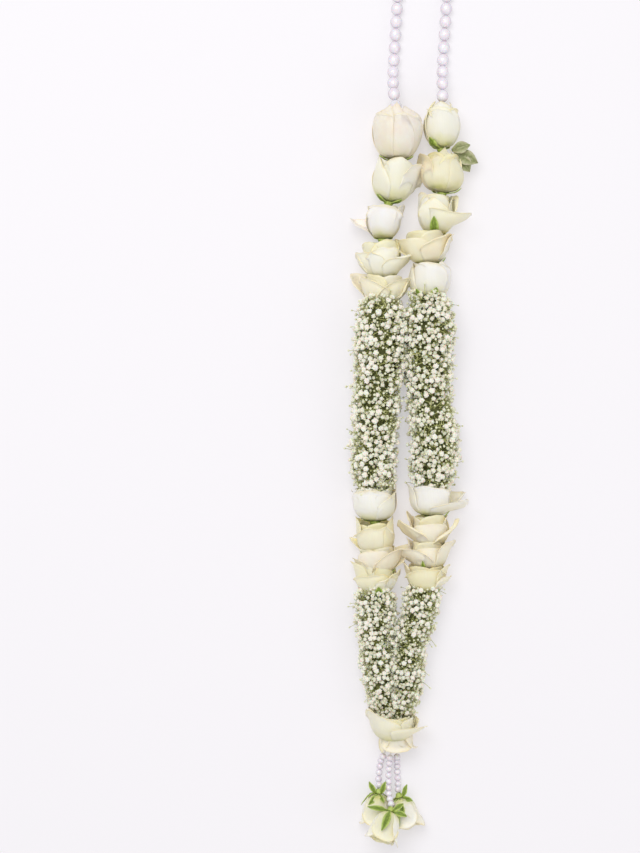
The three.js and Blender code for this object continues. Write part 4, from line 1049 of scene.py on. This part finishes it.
# Florets stand in clumps, with stalks in the gaps. Here and there is a tuft of green buds not yet open.
where = add(tree, "GeometryNodeInputPosition")
clumps = add(tree, "ShaderNodeTexNoise", {"Vector": where, "Scale": 1 / (CLUMPS * MM), "Detail": 1.0})
clumped = {"Value": clumps, "From Min": 0.36, "From Max": 0.52, "To Min": 0.06, "To Max": 1.0}
crowding = add(tree, "ShaderNodeMapRange", clumped)
young = add(tree, "ShaderNodeTexNoise", {"Vector": where, "Scale": 1 / (TUFTS * MM), "Detail": 0.0})
tuft = add(tree, "ShaderNodeMapRange", {"Value": young, "From Min": 0.58, "From Max": 0.66})
fewer = {"Value": young, "From Min": 0.58, "From Max": 0.66, "To Min": 1.0, "To Max": 0.3}
open_share = add(tree, "ShaderNodeMapRange", fewer)
crowding = add(tree, "ShaderNodeMath", {0: crowding, 1: open_share}, operation="MULTIPLY")
bud_share = add(tree, "ShaderNodeMath", {0: tuft, 1: 0.65, 2: 0.35}, operation="MULTIPLY_ADD")
kinds = {"Collection": florets, "Separate Children": True, "Reset Children": True}
choices = add(tree, "GeometryNodeCollectionInfo", kinds)
one_bud, one_stalk = (
    add(tree, "GeometryNodeObjectInfo", {"Object": shape, "As Instance": True}).node.outputs["Geometry"]
    for shape in (bud, bare_stalk)
)
layers = []
LAYERS = [  # shape, how densely, spacing, tilt, sizes, and how far in mm from the sleeve's surface
    (choices, crowding, size["spacing"], 0.5, (0.7, 1.3), (-2.6, 1.6)),
    (choices, crowding, size["spacing"], 0.8, (0.6, 1.0), (-6.0, -3.0)),
    (choices, crowding, 15 * MM, 0.6, (0.7, 0.95), (2.0, 4.5)),
    (one_bud, bud_share, size["bud_spacing"], 0.9, (0.6, 1.2), (-3.5, 2.4)),
    (one_bud, crowding, 13 * MM, 0.7, (0.7, 1.1), (2.5, 6.5)),
    (one_bud, crowding, 17 * MM, 0.5, (0.6, 1.2), (6.0, 9.0)),
    (one_stalk, bud_share, 3.0 * MM, 1.25, (0.8, 1.5), (-5.0, -0.5)),
]
for number, (pick, share, spacing, tilt, sizes, depths) in enumerate(LAYERS):
    seed = add(tree, "ShaderNodeMath", {0: size["seed"], 1: 10.0 * number}, operation="ADD")
    sown = {"Mesh": size["Geometry"], "Distance Min": spacing, "Density Max": 1e6, "Density Factor": share}
    points = add(
        tree,
        "GeometryNodeDistributePointsOnFaces",
        {**sown, "Seed": seed},
        distribute_method="POISSON",
    )
    rotation = points.node.outputs["Rotation"]
    layers.append(scatter(points, rotation, pick, seed, tilt, sizes, depths))

# The thicket is the sleeve's own surface, drawn in and dented, under a dark olive finish that is partly
# painted shade of the gaps.
normal = add(tree, "GeometryNodeInputNormal")
rough = add(tree, "ShaderNodeTexNoise", {"Vector": where, "Scale": 1 / (5 * MM), "Detail": 2.0})
dents = add(tree, "ShaderNodeMath", {0: rough, 1: -ROUGHNESS * MM}, operation="MULTIPLY")
drawn_in = add(tree, "ShaderNodeMath", {0: dents, 1: size["depth"]}, operation="SUBTRACT")
inward = add(tree, "ShaderNodeVectorMath", {0: normal, "Scale": drawn_in}, operation="SCALE")
thicket = add(tree, "GeometryNodeSetPosition", {"Geometry": size["Geometry"], "Offset": inward})
marked = {"Geometry": thicket, "Name": "part", "Value": THICKET}
thicket = add(tree, "GeometryNodeStoreNamedAttribute", marked, data_type="INT", domain="FACE")
everything = add(tree, "GeometryNodeJoinGeometry", {"Geometry": [thicket, *layers]})
whole = add(tree, "GeometryNodeRealizeInstances", {"Geometry": everything})
# What would reach through the surface lies flat on it.
here = add(tree, "GeometryNodeInputPosition")
place = add(tree, "ShaderNodeSeparateXYZ", {"Vector": here}).node.outputs
clear = add(tree, "ShaderNodeMath", {0: place["Z"], 1: 0.05 * MM}, operation="MAXIMUM")
spot = add(tree, "ShaderNodeCombineXYZ", {"X": place["X"], "Y": place["Y"], "Z": clear})
whole = add(tree, "GeometryNodeSetPosition", {"Geometry": whole, "Position": spot})
part = add(tree, "GeometryNodeInputNamedAttribute", {"Name": "part"}, data_type="INT")
finishes = {WHITE: floret_material, GREEN: stalk_material, PALE: bud_material, THICKET: stems_and_painted_shade_material}
for number, material in finishes.items():
    same = add(tree, "FunctionNodeCompare", {"A": part, "B": number}, data_type="INT", operation="EQUAL")
    dressed = {"Geometry": whole, "Selection": same, "Material": material}
    whole = add(tree, "GeometryNodeSetMaterial", dressed)
tree.links.new(whole, result)
sleeve_tree = tree

for seed, (name, sleeve) in enumerate(SLEEVES.items()):
    surface = sleeve_surface(f"florets_{name}", sleeve)
    (x0, y0), (x1, y1) = sleeve["seam"]
    across = Vector((y1 - y0, x0 - x1, 0)).normalized()
    across = across if across.x * sleeve["keep"] < 0 else -across
    seam = {"seam_place": Vector((x0, y0, 0)) * MM, "seam_normal": across}
    grow(surface, sleeve_tree, seed=seed + 1, **(CLOSER if name.startswith("lower") else {}), **seam)
    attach(surface, "root")
    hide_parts(f"babys_breath_{name}")

# ------------------------------------------------------------------ the surface and the light
# An opal white board that glows faintly from beneath, with one broad light over it, a weak one low at its
# side and a white room round it, so that shadows stay pale and soft.
BOARD = 6.0  # metres from its middle to its edge
GLOW = 0.44
ROOM_LIGHT = 0.64
board_mesh = bpy.data.meshes.new("board")
corners = [(-BOARD, -BOARD, 0), (BOARD, -BOARD, 0), (BOARD, BOARD, 0), (-BOARD, BOARD, 0)]
board_mesh.from_pydata(corners, [], [(0, 1, 2, 3)])
board = linked(bpy.data.objects.new("board", board_mesh))
# Matt acrylic shows no highlight, and its own glow leaves only a faint shade beneath the flowers.
board_finish, tree, shader = new_finish("matt_white_board", Roughness=0.9, Specular_IOR_Level=0.1)
shader.inputs["Base Color"].default_value = linear("#BAB8BA")
shader.inputs["Emission Color"].default_value = linear("#FBF9FC")
shader.inputs["Emission Strength"].default_value = GLOW
board_mesh.materials.append(board_finish)
board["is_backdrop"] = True

room = bpy.data.worlds.new("white_room")
room.use_nodes = True
background = room.node_tree.nodes["Background"].inputs
background["Color"].default_value = linear("#FDFCFF")
background["Strength"].default_value = ROOM_LIGHT
bpy.context.scene.world = room
bpy.context.scene.view_settings.view_transform = "Standard"


def soft_light(name, place, width, power):
    """A round light aimed at the middle of the garland, in metres and watts."""
    data = bpy.data.lights.new(name, "AREA")
    data.shape = "DISK"
    data.size = width
    data.energy = power
    lamp = linked(bpy.data.objects.new(name, data))
    lamp.location = place
    lamp.rotation_euler = (-Vector(place)).to_track_quat("-Z", "Y").to_euler()


soft_light("broad_light", place=(-0.5, 0.9, 2.3), width=1.8, power=31.5)
soft_light("low_fill", place=(1.6, -1.2, 1.5), width=1.6, power=6)

# ------------------------------------------------------------------ the size, kept for comparison
sizes = {"cad": cad_box, "visual": [list(corner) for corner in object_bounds()]}
